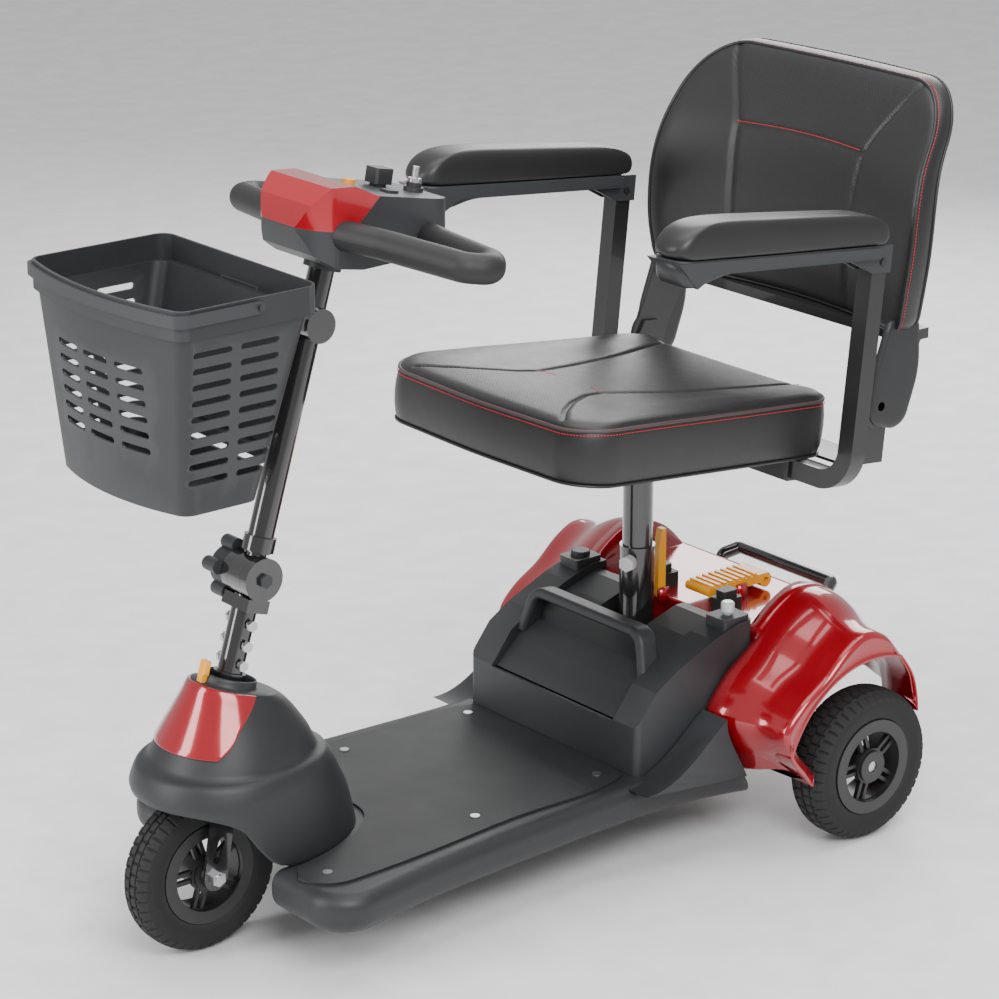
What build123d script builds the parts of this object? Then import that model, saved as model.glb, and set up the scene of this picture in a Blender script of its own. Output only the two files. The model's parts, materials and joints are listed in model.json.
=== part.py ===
from build123d import *
import math
import os

os.makedirs("parts", exist_ok=True)

# A three-wheeled travel mobility scooter, in millimetres.
# +X is forward, +Y is the rider's left, +Z is up and the ground is Z = 0.
# The origin is under the middle of the overall box.

# ------------------------------------------------------------ driving sizes
wheelbase = 852.0
rear_axle_x = -381.15
front_axle_x = rear_axle_x + wheelbase
wheel_radius = 101.6
rear_tyre_width = 60.0
front_tyre_width = 48.0
rear_tyre_outer_y = 300.0
rear_tyre_y = rear_tyre_outer_y - rear_tyre_width / 2
rim_radius = 64.0
rim_inner_radius = 48.0
hub_radius = 24.0
axle_radius = 7.5

rake_angle = 17.2
trail = 55.0
steerer_radius = 14.0
column_radius = 16.0
head_tube_radius = 24.0
knuckle_height = 481.5
knuckle_radius = 27.0
knuckle_width = 52.0
bracket_height = 792.0
basket_gap = 104.0
column_end_height = 892.0

deck_top = 123.0
deck_bottom = 70.0
deck_wall = 4.0
mat_thickness = 3.0
deck_front_x = front_axle_x - 35.0

seat_post_ahead = 149.0
post_x = rear_axle_x + seat_post_ahead
post_radius = 20.0
socket_radius = 23.5
socket_top = 361.0

battery_half_width = 168.0
battery_front = 296.0
battery_rear = 96.0
battery_seam = 187.0

seat_tilt = 6.0
seat_half_width = 207.0
seat_front = 428.0
seat_rear = -14.0
seat_thickness = 88.0
back_half_width = 252.0
armrest_y = 242.5
armrest_tube = 25.0
pad_width = 58.0

running_gap = 0.05
body_gap = 0.3
screw_radius = 4.0

# ------------------------------------------------------------ frames of reference
rake = math.radians(rake_angle)
steer_up = Vector(-math.sin(rake), 0, math.cos(rake))
steer_forward = Vector(math.cos(rake), 0, math.sin(rake))
steer_ground = Vector(front_axle_x + trail, 0, 0)


def column_plane(height):
    """Plane square to the steering axis, this far along it from the ground."""
    return Plane(origin=steer_ground + steer_up * height, x_dir=steer_forward, z_dir=steer_up)


def column_point(height, ahead=0.0, left=0.0):
    """Point given by its height along the steering axis and its offsets from it."""
    return steer_ground + steer_up * height + steer_forward * ahead + Vector(0, left, 0)


def side_plane(y):
    """Upright plane at this Y: sketch X is forward, sketch Y is up, extrude goes towards -Y."""
    return Plane(origin=(0, y, 0), x_dir=(1, 0, 0), z_dir=(0, -1, 0))


def behind(distance):
    """X of a point this far ahead of the rear axle."""
    return rear_axle_x + distance


def write(piece, label):
    """Names a finished piece and writes its file."""
    piece.part.label = label
    export_step(piece.part, f"parts/{label}.step")


# ------------------------------------------------------------ wheels
def tyre(x, y, width):
    """Tyre with rounded shoulders, its axis along Y."""
    with BuildPart() as ring:
        with BuildSketch(Plane(origin=(x, y, wheel_radius), x_dir=(1, 0, 0), z_dir=(0, 0, 1))) as section:
            with Locations((rim_radius, 0)):
                Rectangle(wheel_radius - rim_radius, width, align=(Align.MIN, Align.CENTER))
            fillet(section.vertices().group_by(Axis.X)[-1], width / 3.2)
            fillet(section.vertices().group_by(Axis.X)[0], 4.0)
        revolve(axis=Axis((x, y, wheel_radius), (0, 1, 0)))
    return ring


def rim(x, y, width, outward, bore_radius):
    """Cast rim: barrel, dished web with five paired spokes, and a hub; outward is +1 or -1 along Y."""
    web_depth = 6.0
    web_y = outward * (width / 2 - 12.0)
    flange = 4.0
    pair_spread = 11.0
    spoke_width = 5.0
    across = (Align.MIN, Align.CENTER)
    with BuildPart() as wheel:
        with BuildSketch(Plane(origin=(x, y, wheel_radius), x_dir=(1, 0, 0), z_dir=(0, 0, 1))):
            with Locations((rim_inner_radius, 0)):
                Rectangle(rim_radius - rim_inner_radius, width - flange, align=across)
            with Locations((0, web_y)):
                Rectangle(rim_inner_radius + 1.0, web_depth, align=across)
            Rectangle(hub_radius - 3.0, width - flange, align=across)
            with Locations((0, web_y + outward * 3.0)):
                Rectangle(hub_radius, web_depth, align=across)
        revolve(axis=Axis((x, y, wheel_radius), (0, 1, 0)))
        with BuildSketch(Plane(origin=(x, y, wheel_radius), x_dir=(1, 0, 0), z_dir=(0, -1, 0))) as window:
            Circle(rim_inner_radius - 1.0)
            Circle(hub_radius, mode=Mode.SUBTRACT)
            with PolarLocations(0, 5):
                with Locations((0, pair_spread / 2), (0, -pair_spread / 2)):
                    Rectangle(rim_radius, spoke_width, align=across, mode=Mode.SUBTRACT)
        extrude(amount=width, both=True, mode=Mode.SUBTRACT)
        with BuildSketch(Plane(origin=(x, y, wheel_radius), z_dir=(0, -1, 0))):
            Circle(bore_radius)
        extrude(amount=width, both=True, mode=Mode.SUBTRACT)
    return wheel


axle_clamp_y = 188.0
axle_reach = rear_tyre_outer_y - 10.0
for side, left in (("left", 1), ("right", -1)):
    wheel_y = left * rear_tyre_y
    write(tyre(rear_axle_x, wheel_y, rear_tyre_width), f"rear_tyre_{side}")
    write(rim(rear_axle_x, wheel_y, rear_tyre_width, left, axle_radius), f"rear_rim_{side}")
    with BuildPart() as rear_axle:
        with BuildSketch(Plane(origin=(rear_axle_x, left * 60.0, wheel_radius), z_dir=(0, left, 0))):
            Circle(axle_radius)
        extrude(amount=axle_reach - 60.0)
        with BuildSketch(Plane(origin=(rear_axle_x, left * axle_reach, wheel_radius), z_dir=(0, left, 0))):
            RegularPolygon(11.0, 6)
        extrude(amount=6.0)
    write(rear_axle, f"rear_axle_{side}")

write(tyre(front_axle_x, 0, front_tyre_width), "front_tyre")
front_axle_radius = 6.0
front_bearing_radius = 13.0
front_bearing_width = 8.0
write(rim(front_axle_x, 0, front_tyre_width, 1, front_bearing_radius), "front_rim")

with BuildPart() as front_bearings:
    for left in (1, -1):
        bearing_y = left * (front_tyre_width / 2 - 2.0)
        with BuildSketch(Plane(origin=(front_axle_x, bearing_y, wheel_radius), z_dir=(0, -left, 0))):
            Circle(front_bearing_radius)
            Circle(front_axle_radius + running_gap, mode=Mode.SUBTRACT)
        extrude(amount=front_bearing_width)
write(front_bearings, "front_bearings")

# ------------------------------------------------------------ fork and steering column
fork_plate = 4.0
fork_inner_y = front_tyre_width / 2 + 7.0
crown_height = 226.0
crown_thickness = 6.0
axle_ahead = -(trail * math.cos(rake) - wheel_radius * math.sin(rake))
axle_height = trail * math.sin(rake) + wheel_radius * math.cos(rake)
leg_width = 34.0
head_bottom = 246.0
head_top = 328.0

with BuildPart() as fork:
    with BuildSketch(column_plane(crown_height)):
        with Locations((axle_ahead / 3, 0)):
            RectangleRounded(leg_width + 14.0, 2 * (fork_inner_y + fork_plate), 8.0)
    extrude(amount=crown_thickness)
    with BuildSketch(column_plane(crown_height)):
        Circle(steerer_radius)
    extrude(amount=head_top + 8.0 - crown_height)
    for left in (1, -1):
        leg = Plane(origin=column_point(0, 0, left * fork_inner_y), x_dir=steer_forward, z_dir=(0, -1, 0))
        with BuildSketch(leg):
            with BuildLine():
                Polyline(
                    (axle_ahead - leg_width / 2, axle_height),
                    (axle_ahead / 3 - leg_width / 2, crown_height),
                    (axle_ahead / 3 + leg_width / 2, crown_height),
                    (axle_ahead + leg_width / 2, axle_height),
                )
                ThreePointArc(
                    (axle_ahead + leg_width / 2, axle_height),
                    (axle_ahead, axle_height - leg_width / 2),
                    (axle_ahead - leg_width / 2, axle_height),
                )
            make_face()
            with Locations((axle_ahead, axle_height)):
                Circle(front_axle_radius, mode=Mode.SUBTRACT)
            with Locations(Location((axle_ahead * 0.8, axle_height + 34.0), 94.0)):
                SlotOverall(34.0, 9.0, mode=Mode.SUBTRACT)
        extrude(amount=-left * fork_plate)
write(fork, "fork")

axle_end_y = fork_inner_y + fork_plate + 9.0
with BuildPart() as front_axle:
    with BuildSketch(Plane(origin=(front_axle_x, -axle_end_y, wheel_radius), z_dir=(0, 1, 0))):
        Circle(front_axle_radius)
    extrude(amount=2 * axle_end_y)
    for left in (1, -1):
        nut_y = left * (fork_inner_y + fork_plate)
        with BuildSketch(Plane(origin=(front_axle_x, nut_y, wheel_radius), z_dir=(0, left, 0))):
            RegularPolygon(10.0, 6)
        extrude(amount=7.0)
        spacer_y = left * fork_inner_y
        spacer_length = fork_inner_y - (front_tyre_width / 2 - 2.0) - body_gap
        with BuildSketch(Plane(origin=(front_axle_x, spacer_y, wheel_radius), z_dir=(0, -left, 0))):
            Circle(front_axle_radius + 3.0)
        extrude(amount=spacer_length)
write(front_axle, "front_axle")

bearing_height = 10.0
with BuildPart() as frame_bearings:
    for height in (head_bottom, head_top - bearing_height):
        with BuildSketch(column_plane(height)):
            Circle(head_tube_radius - 4.0)
            Circle(steerer_radius + running_gap, mode=Mode.SUBTRACT)
        extrude(amount=bearing_height)

stem_bottom = head_top + 8.0
with BuildPart() as lower_column:
    with BuildSketch(column_plane(stem_bottom)):
        Circle(column_radius + 4.0)
    extrude(amount=26.0)
    with BuildSketch(column_plane(stem_bottom)):
        Circle(column_radius)
    extrude(amount=knuckle_height - knuckle_radius + 6.0 - stem_bottom)
    for left in (1, -1):
        cheek = Plane(
            origin=column_point(knuckle_height, 0, left * knuckle_width / 2),
            x_dir=steer_forward,
            z_dir=(0, -left, 0),
        )
        with BuildSketch(cheek):
            Circle(knuckle_radius)
        extrude(amount=knuckle_width / 4)
    with BuildSketch(column_plane(knuckle_height - knuckle_radius - 14.0)):
        Rectangle(2 * column_radius, knuckle_width)
    extrude(amount=16.0)
    with BuildSketch(Plane(origin=column_point(knuckle_height, 0, -knuckle_width), z_dir=(0, 1, 0))):
        Circle(5.0 + running_gap)
    extrude(amount=2 * knuckle_width, mode=Mode.SUBTRACT)
    with BuildSketch(Plane(origin=column_point(knuckle_height, 0, -knuckle_width / 4 - body_gap), z_dir=(0, 1, 0))):
        Circle(knuckle_radius + 1.0)
    extrude(amount=knuckle_width / 2 + 2 * body_gap, mode=Mode.SUBTRACT)
write(lower_column, "lower_column")


def bolt_row(heights, reach):
    """Cross bolts through the column with a head at one end and a nut at the other."""
    with BuildPart() as bolts:
        for height in heights:
            with BuildSketch(Plane(origin=column_point(height, 0, -reach), z_dir=(0, 1, 0))):
                Circle(screw_radius)
            extrude(amount=2 * reach)
            for left in (1, -1):
                with BuildSketch(Plane(origin=column_point(height, 0, left * reach), z_dir=(0, -left, 0))):
                    RegularPolygon(7.0, 6)
                extrude(amount=5.0)
    return bolts


write(bolt_row((374.0, 398.0, 424.0), column_radius + 9.0), "column_bolts")

# ------------------------------------------------------------ chassis frame
rail_y = 120.0
rail_size = 20.0
spine_width = 60.0
spine_height = 26.0
rail_bottom = deck_top - deck_wall - rail_size - 4.0
spine_bottom = rail_bottom - 4.0
axle_tube_radius = 20.0
axle_tube_end = rear_tyre_y - rear_tyre_width / 2 - 6.0
gear_case_radius = 46.0
gear_case_width = 104.0
hanger_y = 92.0
hanger_thickness = 6.0
neck_width = 36.0
neck_depth = 26.0
clamp_radius = 5.0
clamp = Plane(origin=(post_x, 0, 344.0), x_dir=(0, 0, 1), z_dir=(2.0, 1.0, 0))

with BuildPart() as main_frame:
    with BuildSketch(Plane.XY.offset(spine_bottom)):
        with Locations(((behind(64) + behind(650)) / 2, 0)):
            Rectangle(behind(650) - behind(64), spine_width)
    extrude(amount=spine_height)
    with BuildSketch(Plane.XY.offset(rail_bottom)):
        for left in (1, -1):
            with Locations(((behind(90) + behind(720)) / 2, left * rail_y)):
                Rectangle(behind(720) - behind(90), rail_size)
        for ahead in (100, 300, 510, 690):
            with Locations((behind(ahead), 0)):
                Rectangle(rail_size, 2 * rail_y + rail_size)
    extrude(amount=rail_size)
    with BuildLine() as neck_path:
        FilletPolyline(
            (behind(630), 0, spine_bottom + spine_height / 2),
            (behind(700), 0, spine_bottom + spine_height / 2),
            (behind(736), 0, 258.0),
            (behind(806), 0, 300.0),
            radius=24.0,
        )
    with BuildSketch(Plane(origin=neck_path.line @ 0, x_dir=(0, 1, 0), z_dir=neck_path.line % 0)):
        Rectangle(neck_width, neck_depth)
    sweep(path=neck_path.line)
    with BuildSketch(column_plane(head_bottom)):
        Circle(head_tube_radius)
    extrude(amount=head_top - head_bottom)
    with BuildSketch(column_plane(head_bottom - 30.0)):
        Circle(head_tube_radius - 4.0)
    extrude(amount=head_top - head_bottom + 60.0, mode=Mode.SUBTRACT)
    with BuildSketch(Plane.XY.offset(spine_bottom)):
        with Locations((post_x, 0)):
            Circle(socket_radius)
    extrude(amount=socket_top - spine_bottom)
    with BuildSketch(Plane.XY.offset(spine_bottom + spine_height)):
        with Locations((post_x, 0)):
            Circle(post_radius + running_gap)
    extrude(amount=socket_top - spine_bottom, mode=Mode.SUBTRACT)
    for left in (1, -1):
        with BuildSketch(side_plane(left * hanger_y)) as hanger:
            with BuildLine():
                Polyline(
                    (behind(-30), wheel_radius - 12.0),
                    (behind(-30), wheel_radius + 30.0),
                    (behind(40), wheel_radius + 34.0),
                    (behind(110), rail_bottom + rail_size),
                    (behind(110), rail_bottom),
                    (behind(30), wheel_radius - 30.0),
                    close=True,
                )
            make_face()
            with Locations((rear_axle_x, wheel_radius)):
                Circle(axle_tube_radius, mode=Mode.SUBTRACT)
        extrude(amount=left * hanger_thickness)
    with BuildSketch(clamp):
        Circle(clamp_radius + running_gap)
    extrude(amount=socket_radius + 10.0, mode=Mode.SUBTRACT)
write(main_frame, "main_frame")

with BuildPart() as post_clamp_knob:
    with BuildSketch(clamp.offset(post_radius + body_gap)):
        Circle(clamp_radius)
    extrude(amount=socket_radius - post_radius + 3.0)
    with BuildSketch(clamp.offset(socket_radius + 1.0)):
        Circle(9.0)
    extrude(amount=3.0)
    with BuildSketch(clamp.offset(socket_radius + 4.0)):
        RegularPolygon(11.0, 6)
    extrude(amount=13.0)
    fillet(post_clamp_knob.edges().sort_by(lambda e: (e.center() - clamp.origin).dot(clamp.z_dir))[-6:], 2.0)
write(post_clamp_knob, "post_clamp_knob")

with BuildPart() as transaxle:
    with BuildSketch(side_plane(gear_case_width / 2)):
        with Locations((rear_axle_x, wheel_radius)):
            Circle(gear_case_radius)
    extrude(amount=gear_case_width)
    fillet(transaxle.edges().filter_by(GeomType.CIRCLE), 8.0)
    with BuildSketch(side_plane(axle_tube_end)):
        with Locations((rear_axle_x, wheel_radius)):
            Circle(axle_tube_radius)
    extrude(amount=2 * axle_tube_end)
    with BuildSketch(side_plane(axle_tube_end)):
        with Locations((rear_axle_x, wheel_radius)):
            Circle(axle_radius + 4.0)
    extrude(amount=2 * axle_tube_end, mode=Mode.SUBTRACT)
    with BuildSketch(side_plane(gear_case_width / 2 - 4.0)):
        with Locations((rear_axle_x, wheel_radius)):
            Circle(axle_radius + 4.0)
    extrude(amount=gear_case_width - 8.0)
write(transaxle, "transaxle_housing")

with frame_bearings:
    for left in (1, -1):
        for bearing_y in (62.0, axle_tube_end - 12.0):
            with BuildSketch(side_plane(left * bearing_y)):
                with Locations((rear_axle_x, wheel_radius)):
                    Circle(axle_radius + 4.0)
                    Circle(axle_radius + running_gap, mode=Mode.SUBTRACT)
            extrude(amount=-left * 12.0)
write(frame_bearings, "frame_bearings")

motor_radius = 38.0
with BuildPart() as drive_motor:
    with BuildSketch(side_plane(44.0)):
        with Locations((behind(-10), wheel_radius + gear_case_radius + motor_radius)):
            Circle(motor_radius)
    extrude(amount=122.0)
    fillet(drive_motor.edges().filter_by(GeomType.CIRCLE), 5.0)
write(drive_motor, "drive_motor")

# ------------------------------------------------------------ shroud outline, which the deck meets
shroud_half_width = 292.0
shroud_wall = 4.0
fender_inner_y = 226.0
arch_radius = 147.0
shroud_deck_z = 272.0
well_half_width = 150.0
latch_y = 58.0
latch_width = 46.0
latch_ahead = -30.0
latch_pivot_z = shroud_deck_z + 13.0
freewheel_y = 2.0
freewheel_width = 10.0
freewheel_ahead = 106.5
freewheel_pivot_z = shroud_deck_z + 8.0


def shroud_profile(drop, y=0.0):
    """Side outline of the shroud on the plane at y, shrunk by this much and open at the bottom."""
    foot = 60.0 if drop else 80.0
    with BuildSketch(side_plane(y), mode=Mode.PRIVATE) as outline:
        with BuildLine():
            Polyline((behind(-104 + drop), foot), (behind(128 - drop), foot), (behind(146 - drop), 101.0))
            Spline(
                (behind(146 - drop), 101.0),
                (behind(172 - drop), 150.0),
                (behind(183 - drop), 190.0 - drop),
                (behind(150), 228.0 - drop),
                (behind(105), 262.0 - drop),
                (behind(60), 300.0 - drop),
                (behind(15), 319.0 - drop),
                (behind(-30), 308.0 - drop),
                (behind(-66), 276.0 - drop),
                (behind(-96 + drop), 239.0 - drop),
                (behind(-108 + drop), 200.0),
            )
            Polyline((behind(-108 + drop), 200.0), (behind(-104 + drop), foot))
        make_face()
    return outline.sketch


# ------------------------------------------------------------ deck
deck_length_front = behind(817)


def deck_outline(inset):
    """Half of the deck's outline with its side line, drawn for mirroring."""
    rear = behind(122) + inset
    front = deck_length_front - inset
    with BuildSketch(mode=Mode.PRIVATE) as outline:
        with BuildLine():
            side_line = Spline(
                (rear, 221.0 - inset),
                (behind(210), 197.0 - inset),
                (behind(300), 191.0 - inset),
                (behind(430), 195.0 - inset),
                (behind(600), 206.0 - inset),
                (front - 62.0, 227.0 - inset),
            )
            corner = TangentArc(side_line @ 1, (front, 172.0 - inset), tangent=side_line % 1)
            Polyline(corner @ 1, (front, 0), (rear, 0), side_line @ 0)
        make_face()
        mirror(about=Plane.XZ)
    return outline.sketch


wheel_notch = 101.0
with BuildPart() as deck:
    with BuildSketch(Plane.XY.offset(deck_bottom)):
        add(deck_outline(0))
    extrude(amount=deck_top - deck_bottom)
    fillet(deck.faces().sort_by(Axis.Z)[-1].edges().filter_by(lambda e: abs(e.center().Y) > 100), 18.0)
    fillet(deck.faces().sort_by(Axis.Z)[0].edges().filter_by(lambda e: abs(e.center().Y) > 100), 26.0)
    with BuildSketch(Plane.XY.offset(deck_bottom)):
        add(deck_outline(27.0))
    extrude(amount=deck_top - deck_wall - deck_bottom, mode=Mode.SUBTRACT)
    with BuildSketch(Plane.XY.offset(deck_bottom)):
        with Locations((behind(160), 0)):
            Rectangle(90.0, 2 * (rail_y + rail_size), align=(Align.MAX, Align.CENTER))
    extrude(amount=deck_top - deck_wall - deck_bottom, mode=Mode.SUBTRACT)
    with BuildSketch(Plane.XY.offset(deck_bottom - 1.0)):
        with Locations((deck_length_front, 0)):
            Rectangle(30.0, 2 * wheel_notch, align=(Align.MAX, Align.CENTER))
            Ellipse(deck_length_front - behind(737), wheel_notch)
        with Locations((behind(716), 0)):
            Rectangle(92.0, neck_width + 8.0)
        with Locations((post_x, 0)):
            Circle(socket_radius + 1.0)
    extrude(amount=deck_top - deck_bottom + 2.0, mode=Mode.SUBTRACT)
    for left in (1, -1):
        with BuildSketch(side_plane(left * (battery_half_width + 3.0))):
            with BuildLine():
                Spline(
                    (behind(322), deck_top - 3.0),
                    (behind(262), 134.0),
                    (behind(216), 166.0),
                    (behind(184), 190.0),
                )
                Polyline(
                    (behind(184), 190.0),
                    (behind(171), 168.0),
                    (behind(143), 126.0),
                    (behind(128), 100.0),
                    (behind(322), deck_top - 3.0),
                )
            make_face()
        extrude(amount=-left * 46.0)
    for left in (1, -1):
        extrude(
            shroud_profile(-1.0, left * (battery_half_width + 1.5)), amount=-left * 200.0, mode=Mode.SUBTRACT
        )
write(deck, "deck")

mat_rear_x = behind(304)
mat_front_x = behind(806)
with BuildPart() as deck_mat:
    with BuildSketch(Plane.XY.offset(deck_top)) as mat_outline:
        with BuildLine():
            Spline(
                (mat_rear_x, 152.0),
                (behind(330), 161.0),
                (behind(460), 166.0),
                (behind(623), 178.0),
                (behind(758), 184.0),
            )
            RadiusArc((behind(758), 184.0), (mat_front_x, 140.0), 48.0)
            Line((mat_front_x, 140.0), (behind(790), 117.0))
            Spline(
                (behind(790), 117.0),
                (behind(708), 98.0),
                (behind(645), 55.0),
                (behind(624), 0.0),
                tangents=((-1, -0.05), (0, -1)),
            )
            Polyline((behind(624), 0.0), (mat_rear_x, 0.0), (mat_rear_x, 152.0))
        make_face()
        mirror(about=Plane.XZ)
    extrude(amount=mat_thickness)
write(deck_mat, "deck_mat")

mat_screws = ((330, 131), (532, 135), (770, 150))
screw_depth = deck_wall + 3.0
with BuildPart() as deck_screws:
    with BuildSketch(Plane.XY.offset(deck_top - screw_depth)):
        for ahead, across in mat_screws:
            for left in (1, -1):
                with Locations((behind(ahead), left * across)):
                    Circle(2.5)
    extrude(amount=screw_depth + mat_thickness)
    with BuildSketch(Plane.XY.offset(deck_top + mat_thickness)):
        for ahead, across in mat_screws:
            for left in (1, -1):
                with Locations((behind(ahead), left * across)):
                    Circle(6.0)
    extrude(amount=1.6)
write(deck_screws, "deck_screws")

# ------------------------------------------------------------ rear shroud and its fittings
with BuildPart() as rear_shroud:
    extrude(shroud_profile(0), amount=shroud_half_width, both=True)
    extrude(
        shroud_profile(shroud_wall), amount=fender_inner_y - shroud_wall, both=True, mode=Mode.SUBTRACT
    )
    for left in (1, -1):
        with BuildSketch(side_plane(left * fender_inner_y)):
            with Locations((rear_axle_x, wheel_radius)):
                Circle(arch_radius)
                Rectangle(400.0, wheel_radius, align=(Align.CENTER, Align.MAX))
        extrude(amount=-left * 90.0, mode=Mode.SUBTRACT)
    with BuildSketch(Plane.XY.offset(deck_bottom - 20.0)):
        with Locations((behind(battery_rear - 3.0), 0)):
            Rectangle(120.0, 2 * battery_half_width + 5.0, align=(Align.MIN, Align.CENTER))
    extrude(amount=300.0, mode=Mode.SUBTRACT)
    with BuildSketch(Plane.XY.offset(shroud_deck_z)):
        with Locations((rear_axle_x, 0)):
            Rectangle(400.0, 2 * well_half_width)
    extrude(amount=100.0, mode=Mode.SUBTRACT)
    with BuildSketch(Plane.XY.offset(deck_bottom - 20.0)):
        with Locations((rear_axle_x, 0)):
            Rectangle(400.0, 2 * (fender_inner_y + 2.0))
    extrude(amount=50.0, mode=Mode.SUBTRACT)
    with BuildSketch(Plane.XY.offset(shroud_deck_z - shroud_wall)):
        with Locations((behind(5), 0)):
            Rectangle(2 * 84.0, 2 * well_half_width + 60.0)
    extrude(amount=shroud_wall)
    with BuildSketch(Plane.XY.offset(deck_top + 4.0)):
        with Locations((behind(battery_rear - 5.0), 0)):
            Rectangle(4.0, 2 * battery_half_width + 20.0)
    extrude(amount=shroud_deck_z - deck_top - 4.0)
    with BuildSketch(Plane.XY.offset(60.0)):
        with Locations((post_x, 0)):
            Circle(socket_radius + 2.0)
    extrude(amount=260.0, mode=Mode.SUBTRACT)
    with BuildSketch(side_plane(shroud_half_width)):
        with Locations((rear_axle_x, wheel_radius)):
            Circle(axle_tube_radius + 1.0)
    extrude(amount=2 * shroud_half_width, mode=Mode.SUBTRACT)
    for ear_y in (latch_y + 6.0, latch_y - latch_width - body_gap):
        with BuildSketch(side_plane(ear_y)):
            with Locations((behind(latch_ahead), shroud_deck_z + 10.0)):
                Rectangle(16.0, 20.0)
        extrude(amount=6.0 - body_gap)
    with BuildSketch(side_plane(latch_y + 6.0)):
        with Locations((behind(latch_ahead), latch_pivot_z)):
            Circle(4.0)
    extrude(amount=latch_width + 12.0)
    for ear_y in (freewheel_y + 5.0, freewheel_y - freewheel_width - body_gap):
        with BuildSketch(side_plane(ear_y)):
            with Locations(((behind(91) + behind(freewheel_ahead + 6)) / 2, freewheel_pivot_z - 4.0)):
                Rectangle(freewheel_ahead + 6 - 91, 20.0)
        extrude(amount=5.0 - body_gap)
    with BuildSketch(side_plane(freewheel_y + 5.0)):
        with Locations((behind(freewheel_ahead), freewheel_pivot_z)):
            Circle(3.0)
    extrude(amount=freewheel_width + 10.0)
write(rear_shroud, "rear_shroud")

bar_radius = 9.0
with BuildPart() as rear_bumper_bar:
    with BuildLine() as bar_path:
        FilletPolyline(
            (behind(-88), -101.0, 224.0),
            (behind(-100), -101.0, 262.0),
            (behind(-122), -90.0, 270.0),
            (behind(-122), 90.0, 270.0),
            (behind(-100), 101.0, 262.0),
            (behind(-88), 101.0, 224.0),
            radius=8.0,
        )
    with BuildSketch(Plane(origin=bar_path.line @ 0, z_dir=bar_path.line % 0)):
        Circle(bar_radius)
    sweep(path=bar_path.line)
write(rear_bumper_bar, "rear_bumper_bar")

with BuildPart() as controller:
    with BuildSketch(Plane.XY.offset(shroud_deck_z - shroud_wall - 40.0)):
        with Locations((behind(60), 88.0)):
            RectangleRounded(56.0, 90.0, 4.0)
    extrude(amount=34.0)
    with BuildSketch(Plane.XY.offset(shroud_deck_z - shroud_wall - 6.0)):
        with Locations((behind(60), 88.0)):
            with GridLocations(8.0, 0, 6, 1):
                Rectangle(3.0, 84.0)
    extrude(amount=6.0)
write(controller, "motor_controller")

# ------------------------------------------------------------ front cowl
cowl_wall = 3.5
cowl_plans = (
    (deck_top, 632, 820, 926, 110),
    (178.0, 652, 822, 928, 108),
    (236.0, 676, 820, 924, 101),
)
cone_plans = (
    (236.0, 690, 815, 906, 90),
    (282.0, 702, 805, 876, 70),
    (322.0, 716, 795, 850, 48),
)


def egg(plan, shrink):
    """Egg-shaped plan: a half ellipse behind the widest place and another ahead of it."""
    z, rear, middle, front, half_width = plan
    with BuildSketch(Plane.XY.offset(z), mode=Mode.PRIVATE) as outline:
        with BuildLine():
            EllipticalCenterArc(
                (behind(middle), 0), front - middle - shrink, half_width - shrink, start_angle=-90, arc_size=180
            )
            EllipticalCenterArc(
                (behind(middle), 0), middle - rear - shrink, half_width - shrink, start_angle=90, arc_size=180
            )
        make_face()
    return outline.sketch


def stacked_eggs(plans, shrink):
    """Smooth solid through a stack of egg-shaped plans."""
    with BuildPart() as shell:
        loft([egg(plan, shrink).face() for plan in plans])
    return shell.part


collar_height = 352.0
collar_radius = 34.0
lock_ahead = 38.3
skirt_solid = stacked_eggs(cowl_plans, 0)
skirt_hollow = stacked_eggs(cowl_plans, cowl_wall)
cone_solid = stacked_eggs(cone_plans, 0)
cone_hollow = stacked_eggs(cone_plans, cowl_wall)
with BuildPart() as front_cowl:
    add(skirt_solid)
    add(skirt_hollow, mode=Mode.SUBTRACT)
    extrude(egg(cowl_plans[2], 0), amount=3.0)
    add(cone_solid)
    add(cone_hollow, mode=Mode.SUBTRACT)
    extrude(egg(cone_plans[0], cowl_wall), amount=4.0, both=True, mode=Mode.SUBTRACT)
    extrude(egg(cone_plans[2], 0), amount=3.0)
    with BuildSketch(column_plane(collar_height - 26.0)):
        Circle(collar_radius)
    extrude(amount=30.0)
    with BuildSketch(column_plane(collar_height - 40.0)):
        Circle(collar_radius - cowl_wall)
    extrude(amount=60.0, mode=Mode.SUBTRACT)
    with BuildSketch(side_plane(0)):
        with BuildLine():
            Polyline(
                (behind(828), 60.0),
                (behind(828), 136.0),
                (behind(838), 178.0),
                (behind(856), 194.0),
                (behind(895), 204.0),
                (behind(1000), 204.0),
                (behind(1000), 60.0),
                close=True,
            )
        make_face()
    extrude(amount=200.0, both=True, mode=Mode.SUBTRACT)
    with BuildSketch(column_plane(collar_height - 30.0)):
        with Locations((lock_ahead, 0)):
            Rectangle(16.0, 20.0)
            Rectangle(8.2, 10.2, mode=Mode.SUBTRACT)
    extrude(amount=22.0)
    with BuildSketch(column_plane(collar_height - 60.0)):
        with Locations((lock_ahead, 0)):
            Rectangle(8.2, 10.2)
    extrude(amount=60.0, mode=Mode.SUBTRACT)
write(front_cowl, "front_cowl")

panel_thickness = 2.4
with BuildPart() as cowl_panel:
    add(stacked_eggs(cone_plans, -panel_thickness))
    add(cone_solid, mode=Mode.SUBTRACT)
    with BuildSketch(Plane.YZ.offset(behind(1000))):
        with BuildLine():
            Polyline(
                (-46.0, 320.0),
                (46.0, 320.0),
                (58.0, 286.0),
                (24.0, 258.0),
                (-24.0, 258.0),
                (-58.0, 286.0),
                close=True,
            )
        make_face()
    extrude(amount=-160.0, mode=Mode.INTERSECT)
write(cowl_panel, "cowl_panel")

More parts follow.
